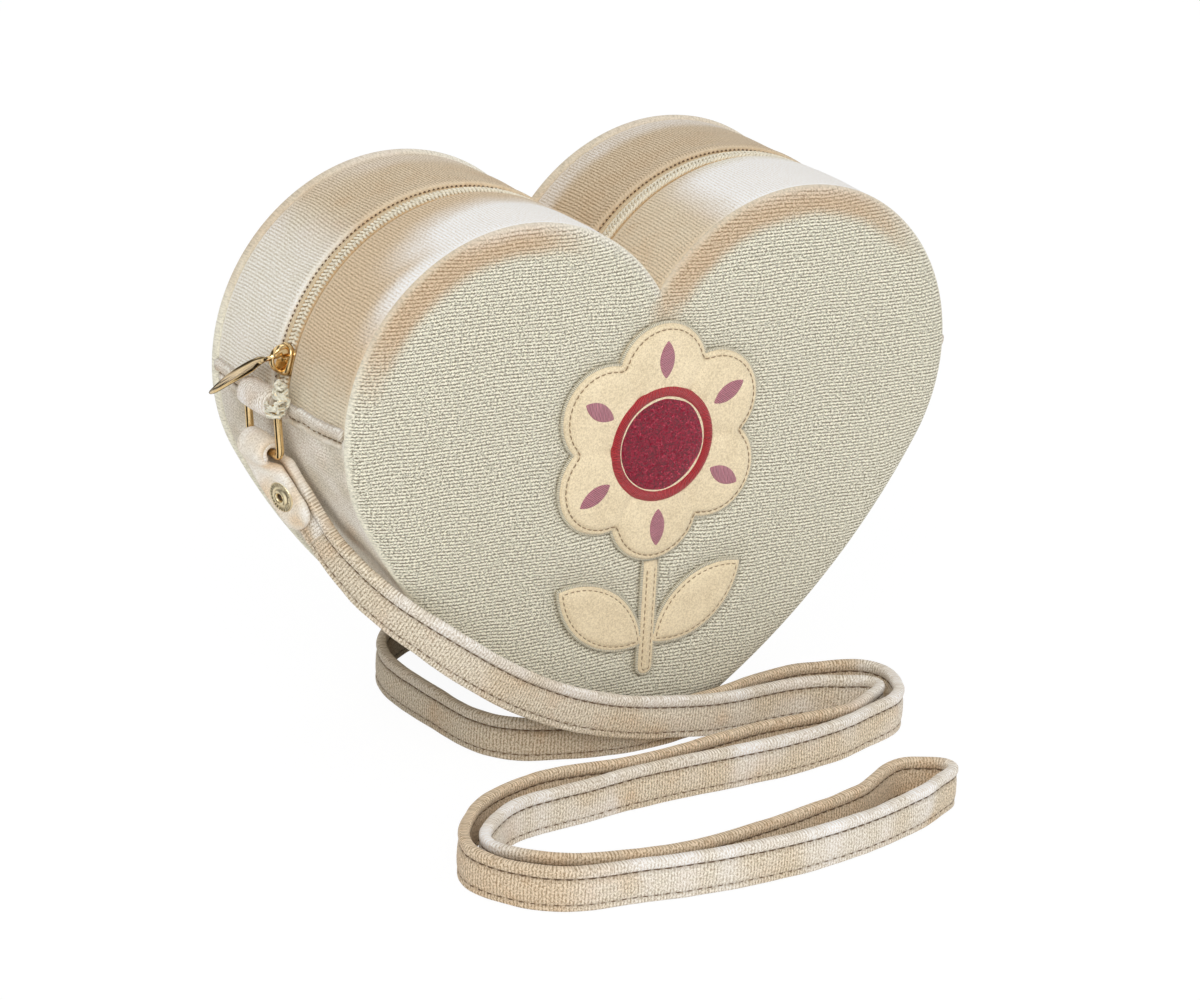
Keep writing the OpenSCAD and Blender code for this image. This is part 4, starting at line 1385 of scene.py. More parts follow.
def lobe_place(angle, radius, y, side=-1):
    """A place on a lobe; angle runs up from the outer end of the zip on the left lobe."""
    return Vector((side * (LOBE_X - radius * math.cos(angle)), y, LOBE_Z + radius * math.sin(angle)))


class BAG_OT_zip(BagOperator, bpy.types.Operator):
    """Builds the zip's two coils, its stops and the cloth ends of its slot"""
    bl_idname = "bag.zip"
    bl_label = "Zip"

    def build(self, context):
        top, _ = split_stations(outline_stations(0.25))
        self.coils([station for station in top if station_point(station, 1.6)[1] > 102.4])
        for side, label in ((-1, "left"), (1, "right")):
            self.stop(side, label)
            self.end(side, label)

    def coils(self, top):
        """The two coils with their cords, and the stitches along the tapes and the slot."""
        pitch, per_turn = sizes()["coil_pitch"], 10
        runs = [station[5] for station in top]
        turns = int((runs[-1] - runs[0]) / pitch)
        every_third = top[::3]
        outward = [Vector((nx, 0, nz)) for _, _, nx, nz in (station_point(at, 1.55) for at in every_third)]

        def line(y, inset):
            """A line along the zip."""
            return [Vector((x, y, z)) for x, z, _, _ in (station_point(at, inset) for at in every_third)]

        for side, label in ((-1, "front"), (1, "rear")):
            path, place = [], 0
            for k in range(turns * per_turn):
                run = runs[0] + k * pitch / per_turn
                while place < len(runs) - 2 and runs[place + 1] < run:
                    place += 1
                angle = TAU * k / per_turn + (math.pi if side > 0 else 0)
                x, z, _, _ = station_point(top[place], 1.0 - 0.55 * math.sin(angle))
                path.append((x, side * (0.95 + 0.5 * math.cos(angle)), z))
            core = [station_point(station, 1.4)[:2] for station in top[::4]]
            rods = join_parts([tube([(x, side * y, z) for x, z in core], 0.48, 6) for y in (0.6, 1.3)])
            make_piece(f"coil_core_{label}", rods, "coil_core", body="bag")
            make_piece(f"coil_{label}", tube(path, 0.38, 6), "coil", nodes=(f"zip_coil_{label}",))
            row = stitch_row(line(side * 2.3, 0.95), outward, 1.3, 0.18, share=0.9)
            make_piece(f"coil_stitches_{label}", row[:2], "coil_core", body="bag")
        # Dark stitches along the slot: thread and the painted shade beside its edge
        row = stitch_row(line(4.15, 0.75), outward, 1.4, 0.2, share=0.4)
        make_piece("slot_stitches", row[:2], "dark_thread", body="bag")

    def stop(self, side, label):
        """Two wire loops that end the coils."""
        angle, middle = math.radians(3.8), LOBE_R - 1.9
        parts = []
        for y in (-1.45, 1.45):
            path = [lobe_place(angle, middle + 1.15 * math.cos(turn), y + 0.75 * math.sin(turn), side)
                    for turn in around(16)]
            parts.append(tube(path, 0.42, 8, closed=True))
        make_piece(f"stop_{label}", join_parts(parts), "gold", nodes=(f"zip_stop_{label}",))

    def end(self, side, label):
        """The cloth tab that closes the end of the slot."""
        rings, weave = [], []
        for k in range(9):
            z = LOBE_Z + 0.15 + 3.1 * k / 8
            swell = math.sin(math.pi * k / 8)
            half = 4.05 * min(1.0, 0.9 + 0.1 * swell)
            x = side * (LOBE_X + math.sqrt((LOBE_R - 0.1) ** 2 - (z - LOBE_Z) ** 2))
            section = strip_section(-half, half, 0.0, 1.5, bulge=0.3 * swell)
            rings.append([(x - side * inset, y, z) for y, inset in section])
            weave += [(z, y, 0.0) for y, _ in section]
        make_piece(f"zip_end_{label}", lofted(rings, weave), "gusset_velvet",
                   nodes=(f"zip_end_tab_{label}",))


class BAG_OT_slider(BagOperator, bpy.types.Operator):
    """Builds the zip's slider, its arch and the leaf-shaped pull"""
    bl_idname = "bag.slider"
    bl_label = "Zip slider and pull"

    def build(self, context):
        middle = Vector((-LOBE_X, 0, LOBE_Z))
        out = Vector((math.cos(SLIDER_ANGLE), 0, math.sin(SLIDER_ANGLE)))
        along = Vector((out.z, 0, -out.x))
        depth = Vector((0, 1, 0))

        def plate(r0, r1, half_w, half_l, nose):
            """A plate across the zip with soft corners, narrower towards its nose."""
            rings = []
            for radius, share in ((r0, 0.9), (r0 + 0.12, 1.0), (r1 - 0.35, 1.0), (r1 - 0.1, 0.9), (r1, 0.72)):
                ring = []
                for turn in around(48):
                    c, s = math.cos(turn), math.sin(turn)
                    w = half_w * share * math.copysign(abs(c) ** 0.55, c)
                    v = half_l * share * math.copysign(abs(s) ** 0.55, s)
                    if v > 0:
                        w *= 1 - nose * (v / half_l) ** 2
                    ring.append(tuple(middle + out * radius + along * v + depth * w))
                rings.append(ring)
            return lofted(rings)

        under_r, wall_y = 48.55, 3.02
        parts = [plate(SLIDER_R + 0.02, SLIDER_R + SLIDER_T, 3.4, 4.2, 0.22),
                 plate(under_r - 0.8, under_r - 0.1, 2.4, 4.0, 0.2),
                 tube([tuple(middle + out * r) for r in (48.0, 49.5, 51.4)], [0.33, 0.32, 0.33], 10)]
        for side in (-1, 1):
            wall = middle + out * (SLIDER_R - 0.25)
            path = [tuple(wall + along * v + depth * side * (wall_y - 0.25 * (v > 2)))
                    for v in (-3.6, -1.8, 0, 1.8, 3.2)]
            parts.append(tube(path, 0.36, 8))
        make_piece("slider_body", join_parts(parts), "gold", nodes=("zip_slider",))
        rings = []
        base, reach = middle + out * (SLIDER_R + SLIDER_T - 0.1), ARCH_R + 0.1
        for k in range(33):
            turn = math.pi * k / 32
            normal = out * math.sin(turn) + along * math.cos(turn)
            width = 0.95 + 0.35 * abs(math.cos(turn))
            rings.append([tuple(base + normal * (reach + 0.62 * math.cos(angle))
                                + depth * width * math.sin(angle)) for angle in around(12)])
        make_piece("slider_bail", lofted(rings), "gold", nodes=("slider_arch",))
        self.pull(middle + out * (SLIDER_R + SLIDER_T + ARCH_R))

    def pull(self, hinge):
        """The leaf: a plate with a raised rim, a middle rib and an eye."""
        turn = Matrix.Rotation(PULL_TURN, 4, "Z") @ Matrix.Rotation(PULL_SLOPE, 4, "Y")
        eye, hole, start, tip, half_w, count = 3.05, 1.9, -0.5, 29.5, 3.5, 96

        def edge(angle):
            """The outline's distance from the eye's middle: a leaf that is fuller towards its tip."""
            reach = tip
            while reach > eye:
                share = (2 * reach * math.cos(angle) - start - tip) / (tip - start)
                half = half_w * (1 - abs(share) ** (4 if share > 0 else 2))
                if abs(share) < 1 and reach * abs(math.sin(angle)) < half:
                    break
                reach -= 0.02
            return reach

        angles = []
        for k in range(count):
            fine = k / count * 2 - 1
            angles.append(math.pi * math.copysign(abs(fine) ** 2.2, fine))
        rows = [(0.0, 0.0), (0.0, 0.34), (0.12, 0.4), (0.84, 0.32), (0.9, 0.46), (0.97, 0.42), (1.0, 0.15)]
        rings = []
        for side in (1, -1):
            for share, height in rows[::side]:
                ring = []
                for angle in angles:
                    reach = hole + (edge(angle) - hole) * share
                    x, y = reach * math.cos(angle), reach * math.sin(angle)
                    rib = 0.16 * math.exp(-(y / 0.7) ** 2) * (x > 3.4) * min(1.0, max(0.0, (tip - 1 - x) / 3))
                    lift = side * (height + (rib if 0.05 < share < 0.95 else 0))
                    roll, bow = PULL_ROLL * between(x, 7, 40, 5), -0.0036 * max(0.0, x - 4) ** 2
                    across = y * math.cos(roll) - lift * math.sin(roll)
                    high = y * math.sin(roll) + lift * math.cos(roll) + bow
                    ring.append(tuple(hinge + turn @ Vector((x, across, high))))
                rings.append(ring)
        make_piece("pull_leaf", lofted(rings[1:-1], closed=True), "gold", nodes=("zip_pull",))


class BAG_OT_rings(BagOperator, bpy.types.Operator):
    """Builds the two wire rings and the velvet tabs that hold them"""
    bl_idname = "bag.rings"
    bl_label = "Rings and tabs"

    def build(self, context):
        corner, low, high = 2.0, RING_LOW_Z, RING_TOP_Z
        path = []
        bend_y = RING_LEG_Y - corner
        for cy, cz, start in ((bend_y, high - corner, 0), (-bend_y, high - corner, 90),
                              (-bend_y, low + corner, 180), (bend_y, low + corner, 270)):
            for k in range(9):
                angle = math.radians(start + 90 * k / 8)
                y, z = cy + corner * math.cos(angle), cz + corner * math.sin(angle)
                lean = (high - z) / (high - low)
                path.append((-RING_X + 0.4 * lean, y + 0.7 - 2.2 * lean, z))
        place_pair("wire_ring", tube(path, WIRE_R, 20, closed=True), "gold", "ring")
        rings, weave, nap = [], [], []
        steps = 30
        for k in range(steps + 1):
            share = 2 * k / steps - 1
            half = 9.2 if share > 0 else 6.1
            y = half * math.copysign(1 - (1 - abs(share)) ** 1.8, share)
            outer = self.profile(rounded(half - abs(y), 3.2), y)
            rings.append([(x, y, z) for x, z in outer])
            run = 0.0
            for j, (x, z) in enumerate(outer):
                run += math.hypot(x - outer[j - 1][0], z - outer[j - 1][1]) if j else 0
                weave.append((y, run, 6.0))
                # Painted highlights and shaded tan in random patches
                nap.append((0.45 + 0.5 * wobble(x, y, z, 5, 8), 0.35 + 0.6 * wobble(x, y, z, 4, 3), 0.0))
        place_pair("ring_loop", (*lofted(rings, weave), nap), "strap_velvet", "ring_tab")

    def profile(self, pinch, y):
        """The tab's outline in (x, z): a puffed roll round the bar, then down to the gusset."""
        r, foot_x, foot_z = 1.8 + 2.45 * pinch, -95.4, 96.0
        outer = []
        for k in range(19):
            angle = math.radians(8 + (205 - 8) * k / 18)
            reach = r + 0.3 * wobble(y, math.cos(angle) * 4, math.sin(angle) * 4, 4)
            outer.append((-RING_X + reach * math.cos(angle) * 0.95,
                          RING_TOP_Z + 0.3 + reach * math.sin(angle)))
        for k in range(1, 8):
            share = k / 8
            x = outer[18][0] * (1 - share) + foot_x * share
            z = outer[18][1] * (1 - share) + foot_z * share
            bulge = math.sin(math.pi * share) ** 0.8 * pinch
            outer.append((x - 0.9 * bulge, z - 0.9 * bulge))
        return outer + [(-95.1, 96.2), (-95.1, 97.6), (-95.3, 99.0)]


class BAG_OT_knot(BagOperator, bpy.types.Operator):
    """Ties the cream and gold cord round the front leg of the left ring"""
    bl_idname = "bag.knot"
    bl_label = "Knotted cord"

    def build(self, context):
        cx, cy = -RING_X + 0.1, -RING_LEG_Y - 0.2

        def helix(turns, radius, low, high, phase):
            """A coil of cord round the leg and the tab's end."""
            count = int(turns * 18)
            return [(cx - 0.6 + radius * math.cos(TAU * turns * k / count + phase),
                     cy + 0.6 + radius * math.sin(TAU * turns * k / count + phase),
                     low + (high - low) * k / count) for k in range(count + 1)]

        lines = [helix(1.7, 2.0, 97.6, 100.6, 0.4), helix(1.4, 2.5, 101.6, 98.6, 2.2)]
        loops = [[(-1.2, -1.7, 99.8), (-1.9, -1.6, 102.1), (-0.6, -2.3, 103.1), (1.2, -1.2, 103.4),
                  (1.3, 0.5, 104.5), (-0.6, 0.7, 105.5), (-1.7, -0.6, 105.1), (-0.5, -2.0, 104.5),
                  (1.3, -1.3, 105.3), (0.9, 0.4, 106.5), (-0.6, -0.1, 107.4)],
                 [(1.6, -1.2, 100.9), (1.9, -1.4, 102.7), (0.1, -2.4, 103.6), (-1.7, -1.0, 104.0),
                  (-0.8, 0.9, 104.4), (1.2, -0.3, 106.3), (-0.3, -1.6, 106.3), (-1.4, -0.2, 106.6),
                  (0.2, 0.7, 107.7)]]
        lines += [smooth_path([(cx + x, cy + y, z) for x, y, z in loop], 0.35) for loop in loops]
        make_piece("tied_cord", join_parts([ply for line in lines for ply in self.rope(line, 0.34, 0.41)]),
                   "cord", nodes=("knot_cord",),
                   bend=("bag", "ring_left", (cx, cy, 104.5), (cx, cy, 98.5)))

    def rope(self, line, offset, radius):
        """Two plies twisted round a line."""
        line = [Vector(point) for point in line]
        side = (line[1] - line[0]).orthogonal().normalized()
        plies, run = [[], []], 0.0
        for index, point in enumerate(line):
            course = (line[min(index + 1, len(line) - 1)] - line[max(index - 1, 0)]).normalized()
            side = (side - course * side.dot(course)).normalized()
            other = course.cross(side)
            if index:
                run += (point - line[index - 1]).length
            for ply in (0, 1):
                angle = run * 3.0 + math.pi * ply
                plies[ply].append(tuple(point + (side * math.cos(angle) + other * math.sin(angle)) * offset))
        return [tube(ply, radius, 7) for ply in plies]


def bar_frame():
    """The frame of the ring's lower bar: +X towards the bag, -Z down the hanging strap end."""
    return Matrix.Translation((-RING_X, 0, RING_LOW_Z)) @ Matrix.Rotation(-END_TILT, 4, "Y")


def end_frame():
    """The strap end's own frame: +X towards the bag, -Z along the leaf, origin on the ring's lower bar."""
    turn = Matrix.Rotation(-END_TILT, 4, "Y") @ Matrix.Rotation(-END_LEAN, 4, "X")
    return Matrix.Translation((-RING_X, 0, RING_LOW_Z)) @ turn


class BAG_OT_strap_ends(BagOperator, bpy.types.Operator):
    """Builds the strap's ends round the rings, their snapped flaps and the snaps"""
    bl_idname = "bag.strap_ends"
    bl_label = "Strap ends and snaps"

    def build(self, context):
        self.leaf()
        self.flap()
        self.snaps(end_frame() @ Matrix.Rotation(END_TWIST, 4, "Z"))

    def sheet(self, rows, half, flap):
        """The form of a soft strip along rows of (x, z, normal x and z, puff, width, share).

        A share of 0 keeps a row square to the ring's bar, and 1 leans and twists it with the strap. The snap
        dents both leaves, and the inner one has painted shade along two seams. Both carry painted highlights
        and shaded tan in random patches.
        """
        bar, columns, seed = bar_frame(), 20, 7 if flap else 2
        dent, reach = (0.72, 4.9) if flap else (0.3, 3.7)
        rings, weave, nap, run = [], [], [], 0.0
        for index, (x, z, nx, nz, puff, wide, share) in enumerate(rows):
            if index:
                run += math.hypot(x - rows[index - 1][0], z - rows[index - 1][1])
            leaning = end_frame() @ Matrix.Rotation(END_TWIST * share, 4, "Z")
            inner = 0.3 if flap else 0.3 + 1.6 * between(run, 30, 60, 8)
            ring = []
            for k in range(2 * columns):
                angle = math.pi * k / columns
                w = STRAP_W / 2 * math.cos(angle)
                n = math.copysign(half(w), math.sin(angle)) * puff if k % columns else 0.0
                n += 0.16 * wobble(run, w, math.sin(angle) * 3 + seed, 4)
                if angle > math.pi and z < 0:
                    n += dent * math.exp(-(math.hypot(w, z + SNAP_S) / reach) ** 6)
                point = Vector((x + n * nx, w * wide, z + n * nz))
                ring.append(tuple((bar @ point).lerp(leaning @ point, share)))
                weave.append((run, w, inner))
                # Painted highlights and shaded tan in random patches, and on the inner leaf painted shade
                # along two seams
                patch = 0.42 + 1.3 * wobble(run, w, n + seed, 5.5)
                seam = 0.0 if flap else 0.5 * math.exp(-((abs(w) - 3.4) / 0.3) ** 2)
                nap.append((0.4 - 0.4 * patch, 0.75 * patch, seam))
            rings.append(ring)
        return *lofted(rings, weave), nap

    def leaf(self):
        """The inner leaf: a sleeve round the lower bar that runs down to the strap."""
        turn, join_z, rows = 2.45, -27.6, []
        for k in range(15):
            angle = math.radians(205 - 205 * k / 14)
            c, s = math.cos(angle), math.sin(angle)
            rows.append((turn * c, turn * s, c, s, 0.62, 1.0, 0.0))
        for k in range(1, 31):
            z, past = join_z * k / 28, k > 28
            rows.append((1.45 + (turn - 1.45) * math.exp(z / 3.5), z, 1.0, 0.0,
                         0.75 + 0.25 * k / 28 - 0.2 * past, 1.0 - 0.03 * past, between(z, -40, -8, 8)))
        here = end_frame()
        place_pair("strap_leaf", self.sheet(rows, lambda w: strap_half(-w), False), "strap_velvet",
                   "strap_end",
                   bend=("ring_{}", "bag", here @ Vector((0, 0, -16)), here @ Vector((0, 0, join_z))))

    def flap(self):
        """The outer flap: a puffed fold over the bar, with a rounded end."""

        def half(w):
            """Half the flap's thickness."""
            return 1.45 * rounded(STRAP_W / 2 - abs(w), 2.6) ** 0.9

        turn, rows = 3.3, []
        for k in range(17):
            angle = math.radians(28 + 152 * k / 16)
            c, s = math.cos(angle), math.sin(angle)
            rows.append((turn * c, turn * s, -c, -s, 0.35 + 0.65 * min(1.0, k / 7), 1.0, 0.0))
        for k in range(1, 33):
            z = -24.0 * k / 32
            end = max(0.0, (-z - 18.2) / 5.8)
            round_end = math.sqrt(max(0.0, 1 - end * end))
            x = -1.6 - (turn - 1.6) * math.exp(z / 4.5) - 0.35 * math.sin(math.pi * min(1.0, -z / 24))
            rows.append((x, z, 1.0, 0.0, 0.25 + 0.75 * round_end, 0.12 + 0.88 * round_end,
                         between(z, -30, -8, 8)))
        bar = bar_frame()
        place_pair("strap_fold", self.sheet(rows, half, True), "strap_velvet", "strap_flap",
                   bend=("ring_{}", "flap_{}", bar @ Vector((2.64, 0, 1.98)), bar @ Vector((-2.4, 0, -1.8))))

    def lathe(self, place, profile, count, notch=None):
        """A turned piece about the snap's axis from (x, radius) rows; notch deepens it at an angle."""
        rings = []
        for x, radius in profile:
            ring = []
            for angle in around(count):
                deep = x + (notch(radius, angle) if notch else 0.0)
                ring.append(tuple(place @ Vector((deep, radius * math.cos(angle),
                                                  -SNAP_S + radius * math.sin(angle)))))
            rings.append(ring)
        return lofted(rings)

    def snaps(self, place):
        """The snaps' caps and sockets on the flaps, their studs and back flanges on the inner leaves, and a
        dark disc of painted shade in each cap's hole.
        """
        back = LEAF_GAP + STRAP_T
        face = -back

        def notches(radius, angle):
            """The fine teeth of the cap's rim."""
            return 0.12 * (math.cos(26 * angle) > 0.2) if 3.0 < radius < 4.0 else 0.0

        cap = [(face + x, radius) for x, radius in (
            (0.3, 3.2), (0.1, 4.15), (-0.35, 4.2), (-0.6, 3.95), (-0.55, 3.6), (-0.45, 3.2), (-0.42, 2.7),
            (-0.5, 2.4), (-0.95, 2.15), (-1.05, 1.8), (-0.95, 1.35), (-0.6, 1.2), (1.3, 1.15), (1.4, 0.3))]
        cup = [(face, 0.8), (face, 3.0), (-0.3, 3.05), (-0.17, 2.8), (-0.2, 2.2), (-1.6, 2.1), (-1.9, 1.4),
               (-1.95, 0.4)]
        ball = [(back, 1.0), (back, 3.0), (0.4, 3.05), (0.2, 2.8), (0.16, 1.25), (-0.7, 1.05), (-1.3, 1.3),
                (-1.75, 1.0), (-1.85, 0.3)]
        flange = [(back + x, radius) for x, radius in (
            (-0.05, 1.0), (0.0, 3.9), (0.3, 4.2), (0.55, 3.9), (0.5, 2.6), (0.58, 0.5))]
        for name, node, profile, count, notch in (
                ("snap_rim", "snap_cap", cap[::-1], 144, notches),
                ("snap_cup", "snap_socket", cup[::-1], 40, None),
                ("snap_ball", "snap_stud", ball, 40, None),
                ("snap_back", "snap_post", flange[::-1], 40, None)):
            place_pair(name, self.lathe(place, profile, count, notch), "snap_gold", node)
        # A dark disc in each cap's hole: painted shade
        points, faces, _ = self.lathe(place, [(face - 0.3, 1.17), (face - 0.25, 0.1)], 24)
        for label, placed in (("left", points), ("right", half_turn(points))):
            make_piece(f"snap_eye_{label}", (placed, faces), "dark_thread", body=f"flap_{label}")


def plain_weave(x, z, distance):
    """A weave that follows the flower's plane."""
    return (x, z, distance)


class BAG_OT_flower(BagOperator, bpy.types.Operator):
    """Builds the padded suede flower on the front, with its satin, glitter and stitches"""
    bl_idname = "bag.flower"
    bl_label = "Flower"

    def build(self, context):
        base = -FACE_Y + 0.9
        outline = Outline(flower_loop())

        def petal_height(x, z, distance):
            """The flower's height: puffed petals with a groove between them and a stitched edge."""
            angle, reach = math.atan2(z - FLOWER_Z, x), math.hypot(x, z - FLOWER_Z)
            off = (angle - math.pi / 2 + math.pi / PETALS) % (TAU / PETALS) - math.pi / PETALS
            groove = 0.55 * math.exp(-(abs(abs(off) - math.pi / PETALS) * reach / 1.3) ** 2) * (reach > 14)
            rise = 2.35 * rounded(distance, 4.5) - groove * min(1.0, distance / 2)
            seam = 0.45 * math.exp(-((distance - 1.6) / 0.45) ** 2)
            return 0.25 + rise - seam + 0.05 * wobble(x, 3, z, 5)

        def leaf_height(x, z, distance):
            """The height of the stem and the leaves, with a stitched edge."""
            seam = 0.35 * math.exp(-((distance - 1.3) / 0.4) ** 2)
            return 0.2 + 1.45 * rounded(distance, 3.2) - seam + 0.04 * wobble(x, 5, z, 4)

        form = padded_shape(outline, [0.25, 0.6, 1.0, 1.3, 1.6, 1.9, 2.4, 3.1, 4.0], 0.9, petal_height,
                            base, -1, plain_weave, back=0.6)
        flower = make_piece("flower_suede", form, "suede", nodes=("flower", "flower_padding"))
        parts = [padded_shape(Outline(loop), [0.25, 0.6, 0.95, 1.3, 1.65, 2.2], 0.9, leaf_height, base, -1,
                              plain_weave, back=0.6) for loop in stem_loops()]
        stem = make_piece("stem_suede", join_parts(parts), "suede", nodes=("stem_and_leaves",))
        self.stitches(base)
        self.marks(base)
        self.middle(base)

    def stitches(self, base):
        """The thread along the seams, and the pale edge round the suede."""
        parts = []
        for loop, inset, lift in [(flower_loop(), 1.6, 1.75)] + [(loop, 1.3, 1.05) for loop in stem_loops()]:
            ring = [Vector((x, base - lift, z)) for x, z in Outline(loop).drawn_in(inset)]
            ring.append(ring[0])
            parts.append(stitch_row(ring, [Vector((0, -1, 0))] * len(ring), 1.9, 0.15, share=0.7))
        make_piece("flower_stitches", join_parts(parts)[:2], "thread", body="bag")
        rims = [tube([(x, base - 0.42, z) for x, z in loop], 0.5, 8, closed=True)
                for loop in [flower_loop()] + stem_loops()]
        make_piece("flower_edge", join_parts(rims), "edge_thread", body="bag")

    def marks(self, base):
        """A satin mark on each petal, with its threads on a slant."""
        parts = []
        for petal in range(PETALS):
            angle = math.pi / 2 + TAU * petal / PETALS
            reach = PETAL_RING_R + PETAL_R * 0.3
            middle = (reach * math.cos(angle), FLOWER_Z + reach * math.sin(angle))
            shape = Outline(lens(middle, PETAL_R * 0.8, PETAL_R * 0.36, angle, 40))

            def threads(x, z, distance):
                """Along and across the threads of this mark."""
                u = (x - middle[0]) * math.cos(angle) + (z - middle[1]) * math.sin(angle)
                v = -(x - middle[0]) * math.sin(angle) + (z - middle[1]) * math.cos(angle)
                return (u + 0.45 * v, v, 0.0)

            parts.append(padded_shape(shape, [0.3, 0.8], 0.6, self.dome(0.05, 1.6), base - 2.42, -1, threads,
                                      back=0.4))
        make_piece("petal_satin", join_parts(parts), "satin_pink", nodes=("petal_marks",))

    def dome(self, edge, width):
        """The height of a low dome that is rounded over a width."""
        return lambda x, z, distance: edge + 0.35 * rounded(distance, width)

    def middle(self, base):
        """The satin bead and the glittering dome inside it."""
        ring_r, bead_r, disc_r, face_y = 14.7, 1.5, 13.5, base - 2.35
        rings, weave = [], []
        for angle in around(240):
            ring = []
            for turn in around(12):
                reach = ring_r + bead_r * math.cos(turn)
                ring.append((reach * math.cos(angle), face_y - 0.85 * math.sin(turn),
                             FLOWER_Z + reach * math.sin(angle)))
                weave.append((angle * ring_r + 0.5 * math.cos(turn), turn, 0.0))
            rings.append(ring)
        make_piece("flower_rim", lofted(rings, weave, closed=True), "satin_red",
                   nodes=("flower_bead",))
        disc = [(disc_r * math.cos(angle), FLOWER_Z + disc_r * math.sin(angle)) for angle in around(96)]
        form = padded_shape(Outline(disc), [0.5, 1.2, 2.2, 3.4], 1.4, self.dome(0.1, 7), face_y, -1,
                            plain_weave, back=0.5)
        make_piece("flower_glitter", form, "glitter", nodes=("flower_middle",))


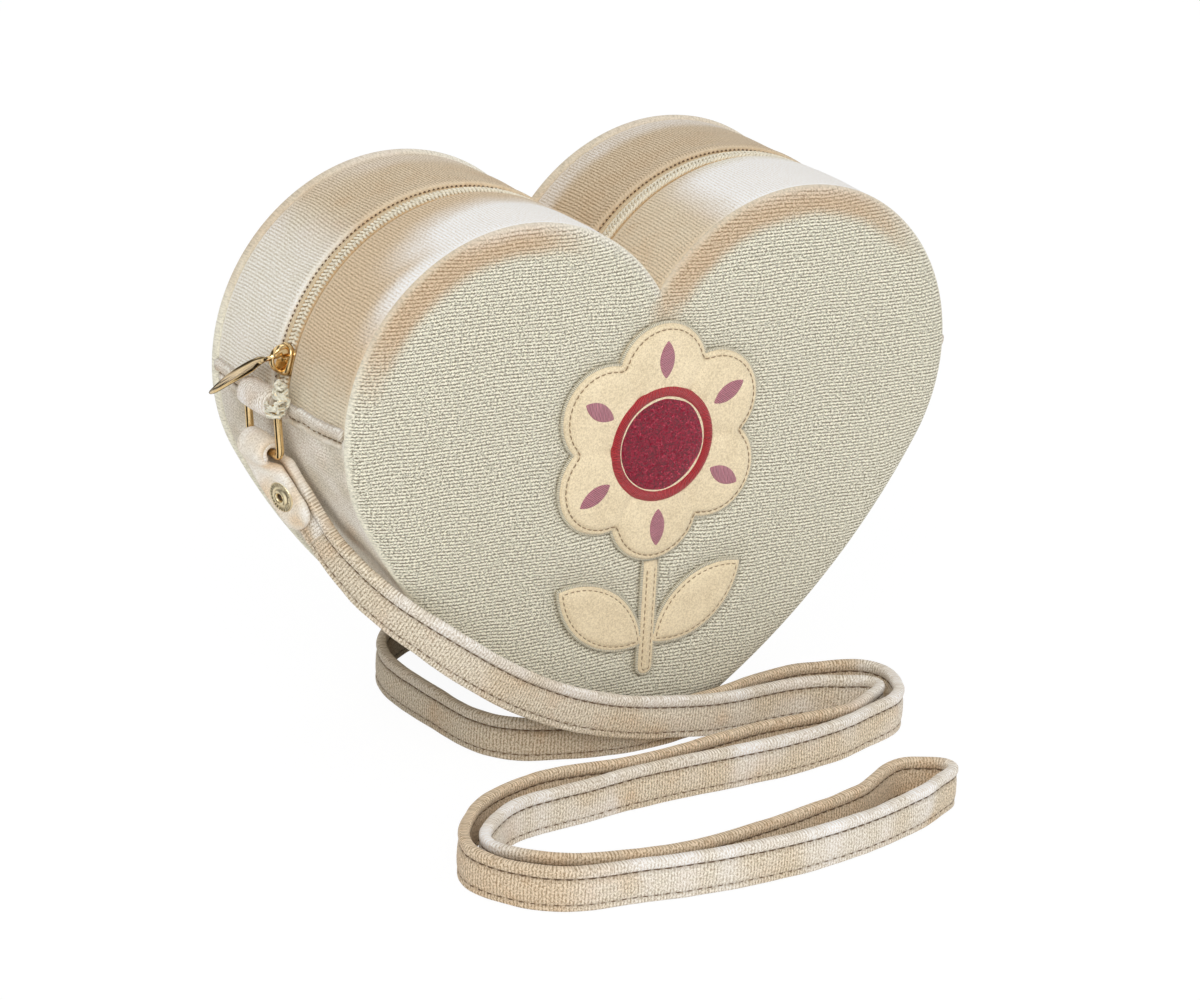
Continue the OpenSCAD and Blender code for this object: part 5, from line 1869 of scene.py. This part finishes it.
class BAG_OT_stage(BagOperator, bpy.types.Operator):
    """Sets up the white floor, the soft lamps and the pale surroundings"""
    bl_idname = "bag.stage"
    bl_label = "Stage"

    def build(self, context):
        scene = context.scene
        scene.view_settings.view_transform = "Standard"
        white = colours()["backdrop"]
        self.floor(white)
        self.surroundings(scene, white)
        for name, place, aim, power, size, tint in (
                ("key", (-0.75, -1.0, 1.0), (0, 0, 0.06), 8.0, 0.7, (1, 0.985, 0.96)),
                ("fill", (0.8, -1.1, 0.5), (0, 0, 0.06), 3.0, 0.9, (0.98, 0.99, 1)),
                ("rim", (0.4, 0.8, 0.9), (0, 0, 0.08), 1.5, 0.6, (1, 1, 1))):
            lamp = bpy.data.lights.new(name, "AREA")
            lamp.energy, lamp.size, lamp.color = power, size, tint
            holder = add_object(name, lamp)
            holder.location = place
            holder.rotation_euler = (Vector(aim) - Vector(place)).to_track_quat("-Z", "Y").to_euler()

    def surroundings(self, scene, white):
        """A white background, soft light from all round, and a striped sky that polished metal mirrors."""
        world = bpy.data.worlds.new("surroundings")
        scene.world = world
        world.use_nodes = True
        sky = Shading(world.node_tree)
        slant = sky.node("ShaderNodeVectorMath", {"operation": "DOT_PRODUCT"}, "Value",
                         i0=sky.node("ShaderNodeTexCoord", output="Generated"), i1=(0.42, -0.28, 0.3))
        stops = [(spot, (shade, shade, shade, 1)) for spot, shade in (
            (0.0, 0.9), (0.12, 0.05), (0.22, 0.04), (0.3, 1.0), (0.44, 1.0), (0.52, 0.05), (0.6, 0.04),
            (0.68, 1.0), (0.8, 1.0), (0.88, 0.06), (1.0, 0.9))]
        stripes = sky.node("ShaderNodeValToRGB", {"stops": stops}, Fac=slant + 0.5)
        lit = sky.node("ShaderNodeBackground", Color=(0.97, 0.985, 1.0, 1), Strength=0.62)
        mirrored = sky.node("ShaderNodeBackground", Color=stripes)
        light = sky.node("ShaderNodeMixShader", i0=sky.ray("Glossy"), i1=lit, i2=mirrored)
        seen = sky.math("MAXIMUM", sky.ray("Camera"), sky.ray("Transmission"))
        backdrop = sky.node("ShaderNodeBackground", Color=white)
        surface = sky.node("ShaderNodeMixShader", i0=seen, i1=light, i2=backdrop)
        sky.made("ShaderNodeOutputWorld", Surface=surface)

    def floor(self, white):
        """A white floor that shows as white to the camera and keeps the bag's soft shadow."""
        half, level = 4.0, -0.0002
        mesh = bpy.data.meshes.new("floor")
        mesh.from_pydata([(half * x, half * y, level) for x, y in ((-1, -1), (1, -1), (1, 1), (-1, 1))], [],
                         [(0, 1, 2, 3)])
        finish = Finish("floor_white", Specular_IOR_Level=0.0)
        place = finish.place()
        grain = finish.noise(place, 0.02, 1.0)
        # Polished metal mirrors dark sectors round the bag
        x, y, _ = finish.parts(place)
        turn = finish.math("ARCTAN2", y, x + 100.0) + 2.16
        sector = finish.step(0.0 - finish.math("COSINE", turn * 3.0), 0.0, 0.4)
        finish.feed(Base_Color=finish.mix(sector * finish.ray("Glossy"), white, (0.015, 0.012, 0.01, 1.0)),
                    Roughness=0.88 + grain * 0.05)
        glow = finish.node("ShaderNodeEmission", Color=white, Strength=1.02)
        finish.put(finish.surface, finish.node("ShaderNodeMixShader", i0=finish.ray("Camera") * 0.93,
                                               i1=finish.shaded, i2=glow))
        mesh.materials.append(finish.material)
        add_object("floor", mesh)


class BAG_PT_panel(bpy.types.Panel):
    """Lists the bag's pieces in the sidebar"""
    bl_label = "Heart shoulder bag"
    bl_idname = "BAG_PT_panel"
    bl_space_type = "VIEW_3D"
    bl_region_type = "UI"
    bl_category = "Bag"

    def draw(self, context):
        for group in (context.scene.bag_sizes, context.scene.bag_colours):
            box = self.layout.box()
            for key in type(group).__annotations__:
                box.prop(group, key)
        for operator in OPERATORS:
            self.layout.operator(operator.bl_idname)


OPERATORS = (BAG_OT_camera, BAG_OT_strap, BAG_OT_panels, BAG_OT_gusset, BAG_OT_inside, BAG_OT_ridges,
             BAG_OT_zip, BAG_OT_slider, BAG_OT_rings, BAG_OT_knot, BAG_OT_strap_ends, BAG_OT_flower,
             BAG_OT_stage)
CLASSES = (BagSizes, BagColours, *OPERATORS, BAG_PT_panel)


def register():
    """Registers the classes and adds the sizes and colours to the scene."""
    for item in CLASSES:
        bpy.utils.register_class(item)
    bpy.types.Scene.bag_sizes = PointerProperty(type=BagSizes)
    bpy.types.Scene.bag_colours = PointerProperty(type=BagColours)


def unregister():
    """Takes away what register added."""
    del bpy.types.Scene.bag_colours
    del bpy.types.Scene.bag_sizes
    for item in reversed(CLASSES):
        bpy.utils.unregister_class(item)


def main():
    """Builds the bag."""
    register()
    for operator in OPERATORS:
        getattr(bpy.ops.bag, operator.bl_idname.split(".")[1])()
    bpy.context.view_layer.update()


if __name__ == "__main__":
    main()
